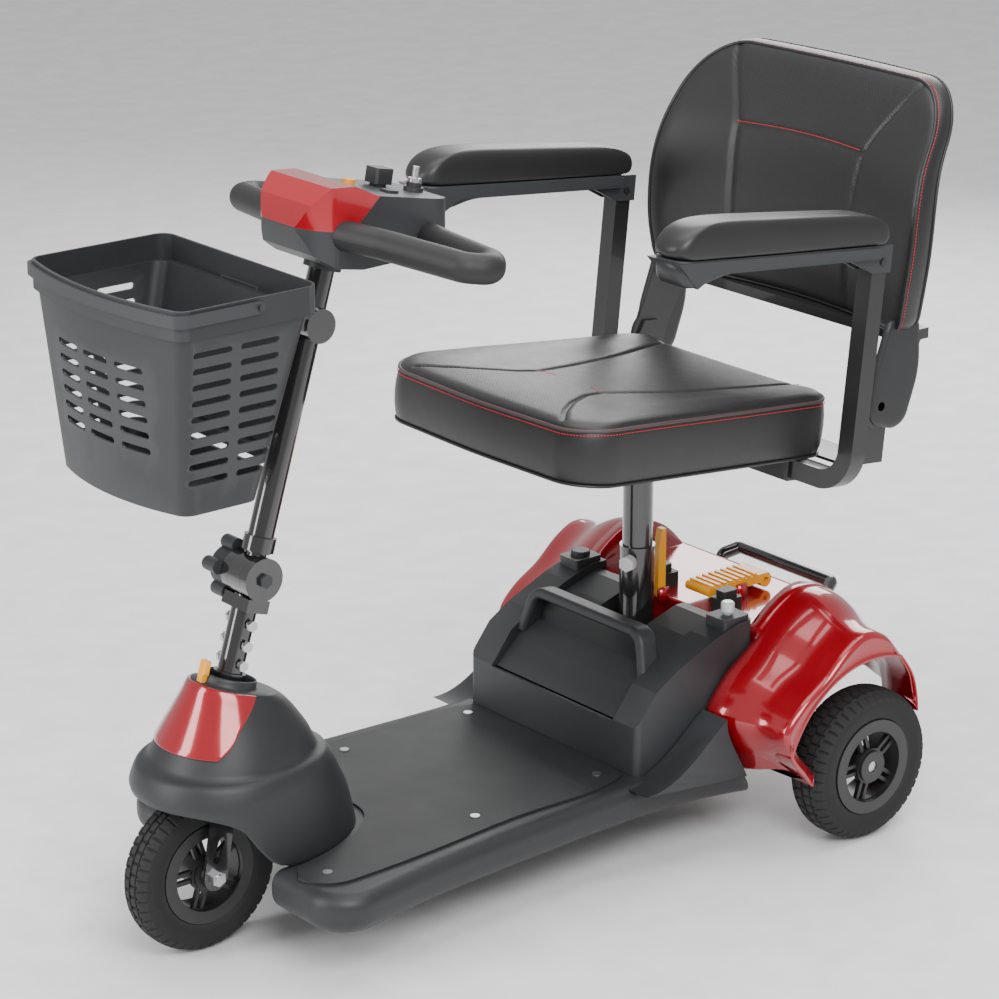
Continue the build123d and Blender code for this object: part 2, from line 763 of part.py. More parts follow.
lock_plane = Plane(origin=column_point(collar_height, lock_ahead), x_dir=steer_forward, z_dir=steer_up)
with BuildPart() as steering_lock_lever:
    with BuildSketch(lock_plane.offset(-18.0)):
        Rectangle(8.0, 10.0)
    extrude(amount=22.0)
    with BuildSketch(lock_plane.offset(4.0)):
        RectangleRounded(9.0, 13.0, 2.0)
    extrude(amount=17.0)
write(steering_lock_lever, "steering_lock_lever")

# ------------------------------------------------------------ battery pack
battery_bottom = deck_top + body_gap
battery_wall = 4.0
post_notch = 46.0
breaker_radius = 6.0
block_top = battery_seam + 112.0
handle_top_z = 284.0
handle_foot_z = 228.0
notch_front = behind(seat_post_ahead + 45.0)
recess_half_width = 122.0
recess_depth = 10.0


def battery_plan(inset):
    """Plan of the battery box: a rounded block with a slot at the back for the seat post."""
    front = behind(battery_front - inset)
    rear = behind(battery_rear + inset)
    half = battery_half_width - inset
    with BuildSketch(mode=Mode.PRIVATE) as outline:
        with Locations(((front + rear) / 2, 0)):
            RectangleRounded(front - rear, 2 * half, 9.0)
        with Locations((rear, 0)):
            Rectangle(notch_front + inset - rear, 2 * (post_notch + inset), align=(Align.MIN, Align.CENTER), mode=Mode.SUBTRACT)
    return outline.sketch


with BuildPart() as battery_tray:
    with BuildSketch(Plane.XY.offset(battery_bottom)):
        add(battery_plan(0))
    extrude(amount=battery_seam - battery_bottom)
    with BuildSketch(Plane.XY.offset(battery_bottom + battery_wall)):
        add(battery_plan(battery_wall))
    extrude(amount=battery_seam - battery_bottom, mode=Mode.SUBTRACT)
write(battery_tray, "battery_tray")


def lid_profile(drop, y=0.0):
    """Side outline of the battery lid on the plane at y, lowered by this much."""
    with BuildSketch(side_plane(y), mode=Mode.PRIVATE) as outline:
        with BuildLine():
            Polyline(
                (behind(battery_front + 2 - drop), battery_seam),
                (behind(263 - drop), 231.0 - drop),
                (behind(228), 252.0 - drop),
                (behind(165), 279.0 - drop),
                (behind(122), 292.0 - drop),
                (behind(battery_rear + drop), 292.0 - drop),
                (behind(battery_rear + drop), battery_seam),
                close=True,
            )
        make_face()
    return outline.sketch


with BuildPart() as lid_block:
    extrude(lid_profile(recess_depth), amount=2 * battery_half_width, both=True)
    for left in (1, -1):
        extrude(lid_profile(0, left * recess_half_width), amount=-left * battery_half_width)

with BuildPart() as lid_hollow:
    with BuildSketch(Plane.XY.offset(battery_seam)):
        add(battery_plan(battery_wall))
    extrude(amount=120.0)
    extrude(
        lid_profile(recess_depth + battery_wall), amount=2 * battery_half_width, both=True, mode=Mode.INTERSECT
    )

with BuildPart() as battery_lid:
    with BuildSketch(Plane.XY.offset(battery_seam)):
        add(battery_plan(0))
    extrude(amount=120.0)
    add(lid_block.part, mode=Mode.INTERSECT)
    add(lid_hollow.part, mode=Mode.SUBTRACT)
    with BuildSketch(Plane.XY.offset(battery_seam + 60.0)):
        for left in (1, -1):
            with Locations((behind(122), left * 146.0)):
                RectangleRounded(44.0, 38.0, 4.0)
    extrude(amount=52.0)
    with BuildSketch(Plane.XY.offset(battery_seam + 60.0)):
        with Locations((behind(122), 146.0)):
            Circle(breaker_radius + running_gap)
    extrude(amount=60.0, mode=Mode.SUBTRACT)
write(battery_lid, "battery_lid")

with BuildPart() as battery_handle:
    with BuildLine() as grip_path:
        FilletPolyline(
            (behind(236), -122.0, handle_foot_z),
            (behind(226), -104.0, handle_top_z),
            (behind(226), 104.0, handle_top_z),
            (behind(236), 122.0, handle_foot_z),
            radius=22.0,
        )
    with BuildSketch(Plane(origin=grip_path.line @ 0, x_dir=(1, 0, 0), z_dir=grip_path.line % 0)):
        RectangleRounded(30.0, 15.0, 6.0)
    sweep(path=grip_path.line)
write(battery_handle, "battery_handle")

cell_size = (138.0, 96.0, 82.0)
cell_rear = battery_rear + recess_depth + battery_wall + 2.0
with BuildPart() as battery_cells:
    with BuildSketch(Plane.XY.offset(battery_bottom + battery_wall)):
        for left in (1, -1):
            with Locations((behind(cell_rear) + cell_size[0] / 2, left * (battery_half_width - 14.0 - cell_size[1] / 2))):
                Rectangle(cell_size[0], cell_size[1])
    extrude(amount=cell_size[2])
write(battery_cells, "battery_cells")

with BuildPart() as charge_port_cap:
    with BuildSketch(Plane.XY.offset(block_top)):
        with Locations((behind(122), -146.0)):
            Circle(13.0)
    extrude(amount=7.0)
    fillet(charge_port_cap.edges().filter_by(GeomType.CIRCLE).sort_by(Axis.Z)[-1], 2.0)
write(charge_port_cap, "charge_port_cap")

with BuildPart() as breaker_button:
    with BuildSketch(Plane.XY.offset(block_top - 24.0)):
        with Locations((behind(122), 146.0)):
            Circle(breaker_radius)
    extrude(amount=28.0)
    with BuildSketch(Plane.XY.offset(block_top + 4.0)):
        with Locations((behind(122), 146.0)):
            Circle(breaker_radius + 3.0)
    extrude(amount=13.0)
    fillet(breaker_button.edges().filter_by(GeomType.CIRCLE).sort_by(Axis.Z)[-1], 3.0)
write(breaker_button, "breaker_button")

# ------------------------------------------------------------ levers and wiring on the shroud
with BuildPart() as frame_latch_lever:
    with BuildSketch(side_plane(latch_y)):
        with Locations((behind(18), shroud_deck_z + 17.0)):
            RectangleRounded(112.0, 12.0, 5.0)
        with Locations((behind(latch_ahead), latch_pivot_z)):
            Circle(10.0)
            Circle(4.0 + running_gap, mode=Mode.SUBTRACT)
    extrude(amount=latch_width)
    with BuildSketch(Plane.XY.offset(shroud_deck_z + 22.0)):
        with Locations((behind(26), 35.0)):
            with GridLocations(11.0, 0, 8, 1):
                Rectangle(5.0, 44.0)
    extrude(amount=4.0)
write(frame_latch_lever, "frame_latch_lever")

with BuildPart() as freewheel_lever:
    with BuildSketch(side_plane(freewheel_y)):
        with BuildLine():
            Polyline(
                (behind(100), freewheel_pivot_z),
                (behind(113), freewheel_pivot_z),
                (behind(113), 345.0),
                (behind(108), 372.0),
                (behind(100), 372.0),
                (behind(100), freewheel_pivot_z),
            )
        make_face()
        with Locations((behind(freewheel_ahead), freewheel_pivot_z)):
            Circle(6.5)
            Circle(3.0 + running_gap, mode=Mode.SUBTRACT)
    extrude(amount=freewheel_width)
write(freewheel_lever, "freewheel_lever")

wire_radius = 2.2
connector_ahead = 66.0
with BuildPart() as wiring_harness:
    with BuildSketch(Plane.XY.offset(shroud_deck_z)):
        with Locations((behind(connector_ahead), 84.0)):
            RectangleRounded(34.0, 26.0, 3.0)
        with Locations((behind(connector_ahead), -44.0)):
            RectangleRounded(34.0, 34.0, 3.0)
    extrude(amount=20.0)
    with BuildSketch(Plane.XY.offset(shroud_deck_z + 20.0)):
        for connector_y in (84.0, -44.0):
            with Locations((behind(connector_ahead), connector_y)):
                RectangleRounded(24.0, 18.0, 3.0)
    extrude(amount=10.0)
    for number in range(3):
        along = 7.0 * number
        with BuildLine() as wire:
            FilletPolyline(
                (behind(58) + along, -58.0, shroud_deck_z + 12.0),
                (behind(54) + along, -84.0, shroud_deck_z + 18.0),
                (behind(42) + along, -112.0, shroud_deck_z + 16.0),
                (behind(36) + along, -126.0, shroud_deck_z + 2.5),
                radius=12.0,
            )
        with BuildSketch(Plane(origin=wire.line @ 0, z_dir=wire.line % 0)):
            Circle(wire_radius)
        sweep(path=wire.line)
write(wiring_harness, "wiring_harness")

# ------------------------------------------------------------ upper tiller
pivot_radius = 5.0
with BuildPart() as upper_column:
    with BuildSketch(Plane(origin=column_point(knuckle_height, 0, -knuckle_width / 4), x_dir=steer_forward, z_dir=(0, 1, 0))):
        Circle(knuckle_radius)
    extrude(amount=knuckle_width / 2)
    with BuildSketch(Plane(origin=column_point(knuckle_height, 0, -knuckle_width), z_dir=(0, 1, 0))):
        Circle(pivot_radius + running_gap)
    extrude(amount=2 * knuckle_width, mode=Mode.SUBTRACT)
    with BuildSketch(column_plane(knuckle_height + knuckle_radius + 2.0)):
        Circle(column_radius)
    extrude(amount=column_end_height - knuckle_height - knuckle_radius - 2.0)
    with BuildSketch(column_plane(knuckle_height + knuckle_radius - 6.0)):
        Circle(12.5)
    extrude(amount=10.0)
    with BuildSketch(column_plane(knuckle_height + knuckle_radius + 4.0)):
        Circle(column_radius + 4.0)
    extrude(amount=18.0)
    with BuildSketch(Plane(origin=column_point(bracket_height, 0, -24.0), x_dir=steer_forward, z_dir=(0, 1, 0))):
        Circle(21.0)
    extrude(amount=48.0)
    with BuildSketch(column_plane(bracket_height - 9.0)):
        for left in (1, -1):
            with Locations((0, left * 18.0)):
                Rectangle(basket_gap, 6.0, align=(Align.MIN, Align.CENTER))
    extrude(amount=18.0)
    with BuildSketch(column_plane(bracket_height - 50.0)):
        with Locations((basket_gap - 3.0, 0)):
            Rectangle(3.0, 64.0, align=(Align.MIN, Align.CENTER))
    extrude(amount=84.0)
write(upper_column, "upper_column")

knob_lobes = 5
knob_radius = 30.0
knob_thickness = 26.0
knob_face_y = -knuckle_width / 2 - body_gap
with BuildPart() as knuckle_knob:
    with BuildSketch(Plane(origin=column_point(knuckle_height, 0, knob_face_y), x_dir=steer_forward, z_dir=(0, -1, 0))):
        Circle(knob_radius - 4.0)
        with PolarLocations(knob_radius, knob_lobes):
            Circle(9.0)
    extrude(amount=knob_thickness)
    fillet(knuckle_knob.faces().sort_by(Axis.Y)[0].edges(), 3.0)
    with BuildSketch(Plane(origin=column_point(knuckle_height, 0, knob_face_y), z_dir=(0, 1, 0))):
        Circle(pivot_radius)
    extrude(amount=knuckle_width + 4.0)
    with BuildSketch(Plane(origin=column_point(knuckle_height, 0, knuckle_width / 2 + body_gap), z_dir=(0, 1, 0))):
        RegularPolygon(9.0, 6)
    extrude(amount=5.0)
write(knuckle_knob, "knuckle_knob")

# ------------------------------------------------------------ console
console_half_width = 60.0
horn_place = (27.0, -22.0)
horn_radius = 7.5
console_wall = 3.0
paddle_z = 846.0
paddle_x = behind(606)
paddle_foot = 832.0
dash_rear = (502.0, 890.0)
dash_front = (614.0, 912.0)
dash_slope = math.atan2(dash_front[1] - dash_rear[1], dash_front[0] - dash_rear[0])
dash = Plane(
    origin=(behind(570), 0, dash_rear[1] + (570.0 - dash_rear[0]) * math.tan(dash_slope)),
    x_dir=(math.cos(dash_slope), 0, math.sin(dash_slope)),
    z_dir=(-math.sin(dash_slope), 0, math.cos(dash_slope)),
)


def console_side(drop):
    """Side outline of the console, shrunk by this much."""
    with BuildSketch(side_plane(0), mode=Mode.PRIVATE) as outline:
        with BuildLine():
            Polyline(
                (behind(702), 852.0),
                (behind(676), 834.0),
                (behind(637), 827.0),
                (behind(545), 829.0),
                (behind(506), 846.0),
                (behind(494), 868.0),
                (behind(dash_rear[0]), dash_rear[1]),
                (behind(dash_front[0]), dash_front[1]),
                (behind(646), 928.0),
                (behind(681), 931.0),
                (behind(704), 912.0),
                (behind(716), 884.0),
                close=True,
            )
        make_face()
        if drop:
            offset(amount=-drop, kind=Kind.INTERSECTION)
    return outline.sketch


def console_plan(drop):
    """Plan outline of the console, shrunk by this much."""
    with BuildSketch(Plane.XY.offset(780.0), mode=Mode.PRIVATE) as outline:
        with Locations((behind(605), 0)):
            RectangleRounded(228.0 - 2 * drop, 2 * (console_half_width - drop), 46.0 - drop)
    return outline.sketch


def console_body(drop):
    """Whole console as one solid, its skin set back by this much."""
    with BuildPart() as body:
        extrude(console_side(drop), amount=100.0, both=True)
        extrude(console_plan(drop), amount=200.0, mode=Mode.INTERSECT)
    return body.part


def seam_slab(low, high):
    """Slab between two heights above the console's seam, which falls towards the rider."""
    slope = math.radians(8.0)
    seam = Plane(
        origin=(behind(605), 0, 866.0),
        x_dir=(math.cos(slope), 0, math.sin(slope)),
        z_dir=(-math.sin(slope), 0, math.cos(slope)),
    )
    with BuildPart() as slab:
        with BuildSketch(seam.offset(low)):
            Rectangle(400.0, 300.0)
        extrude(amount=high - low)
    return slab.part


console_cavity = console_body(console_wall)
with BuildPart() as console_shell:
    add(console_body(0))
    add(console_cavity, mode=Mode.SUBTRACT)
with BuildPart() as panel_region:
    with BuildSketch(side_plane(100.0)):
        with BuildLine():
            Polyline(
                (behind(612), 990.0),
                (behind(612), 910.0),
                (behind(652), 874.0),
                (behind(720), 886.0),
                (behind(760), 990.0),
                close=True,
            )
        make_face()
    extrude(amount=200.0)

with BuildPart() as console_panel:
    add(console_shell.part)
    add(panel_region.part, mode=Mode.INTERSECT)
write(console_panel, "console_panel")

with BuildPart() as console_upper:
    add(console_shell.part)
    add(seam_slab(0, 200), mode=Mode.INTERSECT)
    add(panel_region.part, mode=Mode.SUBTRACT)
    with BuildSketch(dash.offset(-20.0)):
        with Locations(horn_place):
            Circle(horn_radius + 0.1)
    extrude(amount=40.0, mode=Mode.SUBTRACT)
write(console_upper, "console_upper")

with BuildPart() as console_lower:
    add(console_shell.part)
    add(seam_slab(-200, 0), mode=Mode.INTERSECT)
    with BuildSketch(column_plane(column_end_height - 34.0)):
        Circle(column_radius + 7.0)
    extrude(amount=32.0)
    with BuildSketch(column_plane(column_end_height - 70.0)):
        Circle(column_radius + running_gap)
    extrude(amount=90.0, mode=Mode.SUBTRACT)
    with BuildSketch(Plane.XY.offset(paddle_z - 1.0)):
        with Locations((paddle_x, 0)):
            Rectangle(40.0, 2 * console_half_width + 10.0)
    extrude(amount=12.0, mode=Mode.SUBTRACT)
    with BuildSketch(Plane.XY.offset(829.0)):
        with Locations((paddle_x, 0)):
            Circle(9.0)
            Circle(4.0 + running_gap, mode=Mode.SUBTRACT)
    extrude(amount=paddle_z - 829.0 - body_gap)
write(console_lower, "console_lower")

with BuildPart() as throttle_paddle:
    with BuildSketch(Plane.XY.offset(paddle_z)):
        with Locations((paddle_x, 0)):
            RectangleRounded(9.0, 210.0, 4.0)
    extrude(amount=9.0)
    with BuildSketch(Plane.XY.offset(paddle_foot)):
        with Locations((paddle_x, 0)):
            Circle(4.0)
    extrude(amount=paddle_z - paddle_foot)
write(throttle_paddle, "throttle_paddle")

loop_radius = 18.0
with BuildPart() as handlebar:
    for left in (1, -1):
        with BuildLine() as loop:
            FilletPolyline(
                (behind(672), left * 30.0, 874.0),
                (behind(644), left * 108.0, 868.0),
                (behind(612), left * 218.0, 858.0),
                (behind(586), left * 232.0, 854.0),
                (behind(564), left * 206.0, 852.0),
                (behind(548), left * 108.0, 850.0),
                (behind(534), left * 30.0, 850.0),
                radius=16.0,
            )
        with BuildSketch(Plane(origin=loop.line @ 0, z_dir=loop.line % 0)):
            Circle(loop_radius)
        sweep(path=loop.line)
write(handlebar, "handlebar")


def dash_piece(ahead, across, below, sections):
    """Round or square pieces standing on the dash: each section is (shape size, corner, height)."""
    with BuildPart() as piece:
        rise = below
        for size, corner, height in sections:
            with BuildSketch(dash.offset(rise)):
                with Locations((ahead, across)):
                    if corner:
                        RectangleRounded(size, size, corner)
                    else:
                        Circle(size / 2)
            extrude(amount=height)
            rise = rise + height
    return piece


write(dash_piece(-16.0, -20.0, 0.4, ((20.0, 0, 3.0), (25.0, 3.0, 19.0))), "speed_dial")
write(dash_piece(*horn_place, -8.0, ((2 * horn_radius + 4.0, 0, 2.0), (2 * horn_radius, 0, 12.0))), "horn_button")

with BuildPart() as dash_fittings:
    add(dash_piece(2.0, 26.0, 0.2, ((17.0, 2.0, 3.0),)).part)
    add(dash_piece(-50.0, 6.0, 0.2, ((24.0, 0, 5.0), (18.0, 0, 5.0))).part)
write(dash_fittings, "dash_fittings")

with BuildPart() as ignition_key:
    with BuildSketch(dash.offset(10.5)):
        with Locations((-50.0, 6.0)):
            Circle(8.0)
    extrude(amount=5.0)
    with BuildSketch(dash.offset(15.5)):
        with Locations((-50.0, 6.0)):
            Circle(4.0)
    extrude(amount=14.0)
write(ignition_key, "ignition_key")

# ------------------------------------------------------------ basket
basket_wall = 3.0
basket_floor = 605.0
basket_rim = 852.0
hanger_half_width = 32.0
bail_x = behind(855)
bail_z = 841.0


def basket_plan(z, rear, front, half_width, shrink):
    """Plan of the basket at one height, with a bowed front."""
    with BuildSketch(Plane.XY.offset(z), mode=Mode.PRIVATE) as outline:
        with BuildLine():
            Polyline(
                (behind(front - 22) - shrink, -half_width + shrink),
                (behind(rear) + shrink, -half_width + shrink),
                (behind(rear) + shrink, half_width - shrink),
                (behind(front - 22) - shrink, half_width - shrink),
            )
            ThreePointArc(
                (behind(front - 22) - shrink, half_width - shrink),
                (behind(front) - shrink, 0),
                (behind(front - 22) - shrink, -half_width + shrink),
            )
        make_face()
        fillet(outline.vertices(), 18.0 - shrink)
    return outline.sketch


def basket_solid(shrink, lift):
    """Tapered block from the floor to the rim, shrunk by the wall and raised by the floor."""
    with BuildPart() as block:
        loft(
            [
                basket_plan(basket_floor + lift, 838, 962, 128, shrink).face(),
                basket_plan(basket_rim, 768, 978, 154, shrink).face(),
            ]
        )
    return block.part


with BuildPart() as basket:
    add(basket_solid(0, 0))
    extrude(basket_plan(basket_rim - 34.0, 768, 980, 155, 0), amount=34.0)
    add(basket_solid(basket_wall, basket_wall), mode=Mode.SUBTRACT)
    extrude(basket_plan(basket_rim - 31.0, 768, 980, 155, basket_wall), amount=40.0, mode=Mode.SUBTRACT)
    for row in range(9):
        row_z = basket_floor + 40.0 + 19.0 * row
        with BuildSketch(side_plane(0)):
            with Locations((behind(848), row_z), (behind(912), row_z)):
                SlotOverall(52.0, 8.0)
        extrude(amount=200.0, both=True, mode=Mode.SUBTRACT)
    for row in range(6):
        row_z = basket_floor + 70.0 + 19.0 * row
        with BuildSketch(Plane.YZ.offset(behind(940))):
            with Locations((-62.0, row_z), (0, row_z), (62.0, row_z)):
                SlotOverall(48.0, 8.0)
        extrude(amount=60.0, mode=Mode.SUBTRACT)
    with BuildSketch(column_plane(bracket_height - 46.0)):
        for left in (1, -1):
            with Locations((basket_gap - 7.0, left * (hanger_half_width + 3.0))):
                Rectangle(17.0, 5.4, align=(Align.MIN, Align.CENTER))
            with Locations((basket_gap - 7.0, left * (hanger_half_width + 0.5))):
                Rectangle(3.7, 10.0, align=(Align.MIN, Align.CENTER))
    extrude(amount=80.0)
    with BuildSketch(column_plane(bracket_height + 34.0 + body_gap)):
        with Locations((basket_gap - 7.0, 0)):
            Rectangle(17.0, 2 * (hanger_half_width + 5.7), align=(Align.MIN, Align.CENTER))
    extrude(amount=4.0)
    with BuildSketch(side_plane(154.0 + 9.0)):
        with Locations((bail_x, bail_z)):
            Circle(3.0)
    extrude(amount=9.0)
    with BuildSketch(side_plane(-154.0)):
        with Locations((bail_x, bail_z)):
            Circle(3.0)
    extrude(amount=9.0)
write(basket, "basket")

bail_height = 14.0
bail_inner_y = 155.0 + body_gap
bail_thickness = 4.0
with BuildPart() as basket_handle:
    with BuildSketch(Plane.XY.offset(bail_z - bail_height / 2)):
        add(basket_plan(bail_z, 768, 980 + body_gap + bail_thickness, bail_inner_y + bail_thickness, 0))
        add(
            basket_plan(bail_z, 768, 980 + body_gap, bail_inner_y, 0),
            mode=Mode.SUBTRACT,
        )
        with Locations((bail_x, 0)):
            Rectangle(200.0, 400.0, align=(Align.MAX, Align.CENTER), mode=Mode.SUBTRACT)
    extrude(amount=bail_height)
    for left in (1, -1):
        with BuildSketch(side_plane(left * bail_inner_y)):
            with Locations((bail_x, bail_z)):
                Circle(bail_height / 2)
        extrude(amount=-left * bail_thickness)
    with BuildSketch(side_plane(200.0)):
        with Locations((bail_x, bail_z)):
            Circle(3.0 + running_gap)
    extrude(amount=400.0, mode=Mode.SUBTRACT)
write(basket_handle, "basket_handle")

# ------------------------------------------------------------ seat
tilt = math.radians(seat_tilt)
seat_height = 510.0
seat_forward = Vector(math.cos(tilt), 0, math.sin(tilt))
seat_up = Vector(-math.sin(tilt), 0, math.cos(tilt))
seat_origin = Vector(post_x, 0, seat_height)
seat_plane = Plane(origin=seat_origin, x_dir=seat_forward, z_dir=seat_up)
plate_thickness = 4.0
receiver_size = armrest_tube + 8.0
receiver_ahead = -144.0
receiver_below = -plate_thickness - receiver_size / 2
receiver_end = 150.0
ear_y = 214.0
ear_thickness = 4.0
back_pivot = (-205.0, 74.0)


def seat_point(ahead, across, above):
    """Point given along the seat's own axes from the top of the post."""
    return seat_origin + seat_forward * ahead + Vector(0, across, 0) + seat_up * above


def seat_side(y):
    """Plane square to Y in the seat's tilted axes."""
    return Plane(origin=seat_origin + Vector(0, y, 0), x_dir=seat_forward, z_dir=(0, -1, 0))


post_bottom = 205.0
swivel_radius = 14.0
swivel_boss_radius = 28.0
post_top = seat_height - 34.0
with BuildPart() as seat_post:
    with BuildSketch(Plane.XY.offset(post_bottom)):
        with Locations((post_x, 0)):
            Circle(post_radius)
            Circle(post_radius - 3.0, mode=Mode.SUBTRACT)
    extrude(amount=post_top - post_bottom)
    with BuildSketch(Plane.XY.offset(post_top - 6.0)):
        with Locations((post_x, 0)):
            Circle(post_radius)
    extrude(amount=6.0)
    with BuildSketch(Plane.XY.offset(post_top)):
        with Locations((post_x, 0)):
            Circle(swivel_radius)
    extrude(amount=18.0)
write(seat_post, "seat_post")

with BuildPart() as seat_frame:
    with BuildSketch(seat_plane.offset(-plate_thickness)):
        with Locations((-30.0, 0)):
            RectangleRounded(330.0, 300.0, 12.0)
        with Locations((-194.0, 0)):
            Rectangle(68.0, 2 * (ear_y + ear_thickness))
    extrude(amount=plate_thickness)
    with BuildSketch(Plane.XY.offset(post_top + body_gap)):
        with Locations((post_x, 0)):
            Circle(swivel_boss_radius)
            Circle(swivel_radius + running_gap, mode=Mode.SUBTRACT)
    extrude(amount=seat_height - swivel_boss_radius * math.sin(tilt) - 0.3 - post_top - body_gap)
    with BuildSketch(seat_side(receiver_end)):
        with Locations((receiver_ahead, receiver_below)):
            Rectangle(receiver_size, receiver_size)
    extrude(amount=2 * receiver_end)
    with BuildSketch(seat_side(receiver_end)):
        with Locations((receiver_ahead, receiver_below)):
            Rectangle(armrest_tube + 0.2, armrest_tube + 0.2)
    extrude(amount=2 * receiver_end, mode=Mode.SUBTRACT)
    for left in (1, -1):
        with BuildSketch(seat_side(left * ear_y)):
            with BuildLine():
                Polyline((-228.0, -plate_thickness), (-228.0, 60.0), (back_pivot[0] - 10.0, 92.0))
                Polyline((back_pivot[0] - 10.0, 92.0), (back_pivot[0] + 14.0, 92.0), (-160.0, 20.0))
                Polyline((-160.0, 20.0), (-160.0, -plate_thickness), (-228.0, -plate_thickness))
            make_face()
        extrude(amount=-left * ear_thickness)
        with BuildSketch(seat_side(left * ear_y)):
            with Locations(back_pivot):
                Circle(6.0)
        extrude(amount=-left * (ear_thickness + 10.0))
write(seat_frame, "seat_frame")

with BuildPart() as seat_cushion:
    with BuildSketch(seat_plane.offset(body_gap)):
        with Locations(((seat_front + seat_rear) / 2 - seat_post_ahead, 0)):
            RectangleRounded(seat_front - seat_rear, 2 * seat_half_width, 48.0)
    extrude(amount=seat_thickness)
    fillet(seat_cushion.faces().sort_by(Axis.Z)[-1].edges(), 14.0)
write(seat_cushion, "seat_cushion")

# ------------------------------------------------------------ backrest
back_bottom = 652.0
back_sections = (
    (back_bottom, -118.0, -72.0, 56.0, back_half_width - 8.0),
    (740.0, -116.0, -76.0, 60.0, back_half_width),
    (850.0, -127.0, -96.0, 56.0, back_half_width - 6.0),
    (925.0, -160.0, -140.0, 50.0, back_half_width - 28.0),
    (962.0, -184.0, -172.0, 38.0, back_half_width - 66.0),
)


def back_section(z, middle, wing, depth, half_width):
    """Crescent plan of the back cushion at one height."""
    with BuildSketch(Plane.XY.offset(z), mode=Mode.PRIVATE) as outline:
        with BuildLine():
            ThreePointArc((behind(wing), -half_width), (behind(middle), 0), (behind(wing), half_width))
            Line((behind(wing), half_width), (behind(wing) - depth * 0.7, half_width - 4.0))
            ThreePointArc(
                (behind(wing) - depth * 0.7, half_width - 4.0),
                (behind(middle) - depth, 0),
                (behind(wing) - depth * 0.7, 4.0 - half_width),
            )
            Line((behind(wing) - depth * 0.7, 4.0 - half_width), (behind(wing), -half_width))
        make_face()
    return outline.sketch


with BuildPart() as back_cushion:
    loft([back_section(*section).face() for section in back_sections])
write(back_cushion, "back_cushion")

hinge_cover_y = ear_y + ear_thickness + body_gap
with BuildPart() as back_frame:
    for left in (1, -1):
        with BuildSketch(seat_side(left * hinge_cover_y)):
            with Locations(back_pivot):
                Circle(30.0)
            with BuildLine():
                Polyline(
                    (back_pivot[0] - 28.0, back_pivot[1]),
                    (back_pivot[0] - 64.0, 158.0),
                    (back_pivot[0] + 4.0, 158.0),
                    (back_pivot[0] + 28.0, back_pivot[1]),
                    close=True,
                )
            make_face()
            with Locations(back_pivot):
                Circle(6.0 + running_gap, mode=Mode.SUBTRACT)
        extrude(amount=-left * 6.0)
    with BuildSketch(side_plane(hinge_cover_y + 6.0)):
        with Locations((behind(-126), back_bottom - body_gap)):
            Rectangle(44.0, 14.0, align=(Align.CENTER, Align.MAX))
    extrude(amount=2 * (hinge_cover_y + 6.0))
write(back_frame, "back_frame")

# ------------------------------------------------------------ armrests
arm_pivot_above = 273.0
pad_front = 214.0
pad_rear = -104.0
pad_low = 282.0
pad_top = 339.0
cheek_gap = armrest_tube / 2 + body_gap
for side, left in (("left", 1), ("right", -1)):
    with BuildPart() as armrest_frame:
        with BuildLine() as arm_path:
            FilletPolyline(
                seat_point(receiver_ahead, left * 60.0, receiver_below),
                seat_point(receiver_ahead, left * armrest_y, receiver_below),
                seat_point(receiver_ahead, left * armrest_y, arm_pivot_above + 8.0),
                radius=44.0,
            )
        with BuildSketch(Plane(origin=arm_path.line @ 0, x_dir=seat_forward, z_dir=arm_path.line % 0)):
            Rectangle(armrest_tube, armrest_tube)
        sweep(path=arm_path.line)
        with BuildSketch(seat_side(left * armrest_y)):
            with Locations((receiver_ahead, arm_pivot_above)):
                Circle(4.5)
        extrude(amount=armrest_tube / 2 + 7.0, both=True)
    write(armrest_frame, f"armrest_frame_{side}")

    with BuildPart() as armrest:
        for inner in (cheek_gap, -cheek_gap - 4.0):
            with BuildSketch(seat_side(left * armrest_y + inner)):
                with BuildLine():
                    Polyline(
                        (receiver_ahead - 16.0, arm_pivot_above - 14.0),
                        (receiver_ahead - 16.0, pad_low + 12.0),
                        (receiver_ahead + 60.0, pad_low + 12.0),
                        (receiver_ahead + 60.0, pad_low - 4.0),
                        (receiver_ahead + 16.0, arm_pivot_above - 14.0),
                        close=True,
                    )
                make_face()
                with Locations((receiver_ahead, arm_pivot_above)):
                    Circle(4.5 + running_gap, mode=Mode.SUBTRACT)
            extrude(amount=-4.0)
        with BuildSketch(seat_side(left * armrest_y + pad_width / 2)):
            with BuildLine():
                Polyline(
                    (receiver_ahead + 16.0, pad_low + 12.0),
                    (receiver_ahead + 16.0, pad_low - 2.0),
                    (pad_front - 60.0, pad_low - 4.0),
                    (pad_front - 34.0, pad_low - 20.0),
                    (pad_front, pad_low + 12.0),
                    close=True,
                )
            make_face()
        extrude(amount=pad_width)
    write(armrest, f"armrest_bracket_{side}")

    with BuildPart() as armrest_pad:
        with BuildSketch(seat_side(left * armrest_y + pad_width / 2)) as pad_outline:
            with Locations(((pad_front + receiver_ahead) / 2, (pad_top + pad_low + 12.0 + body_gap) / 2)):
                RectangleRounded(pad_front - receiver_ahead, pad_top - pad_low - 12.0 - body_gap, 16.0)
        extrude(amount=pad_width)
    write(armrest_pad, f"armrest_pad_{side}")
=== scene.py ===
import bpy
import bmesh
import json
import math
from mathutils import Matrix, Vector


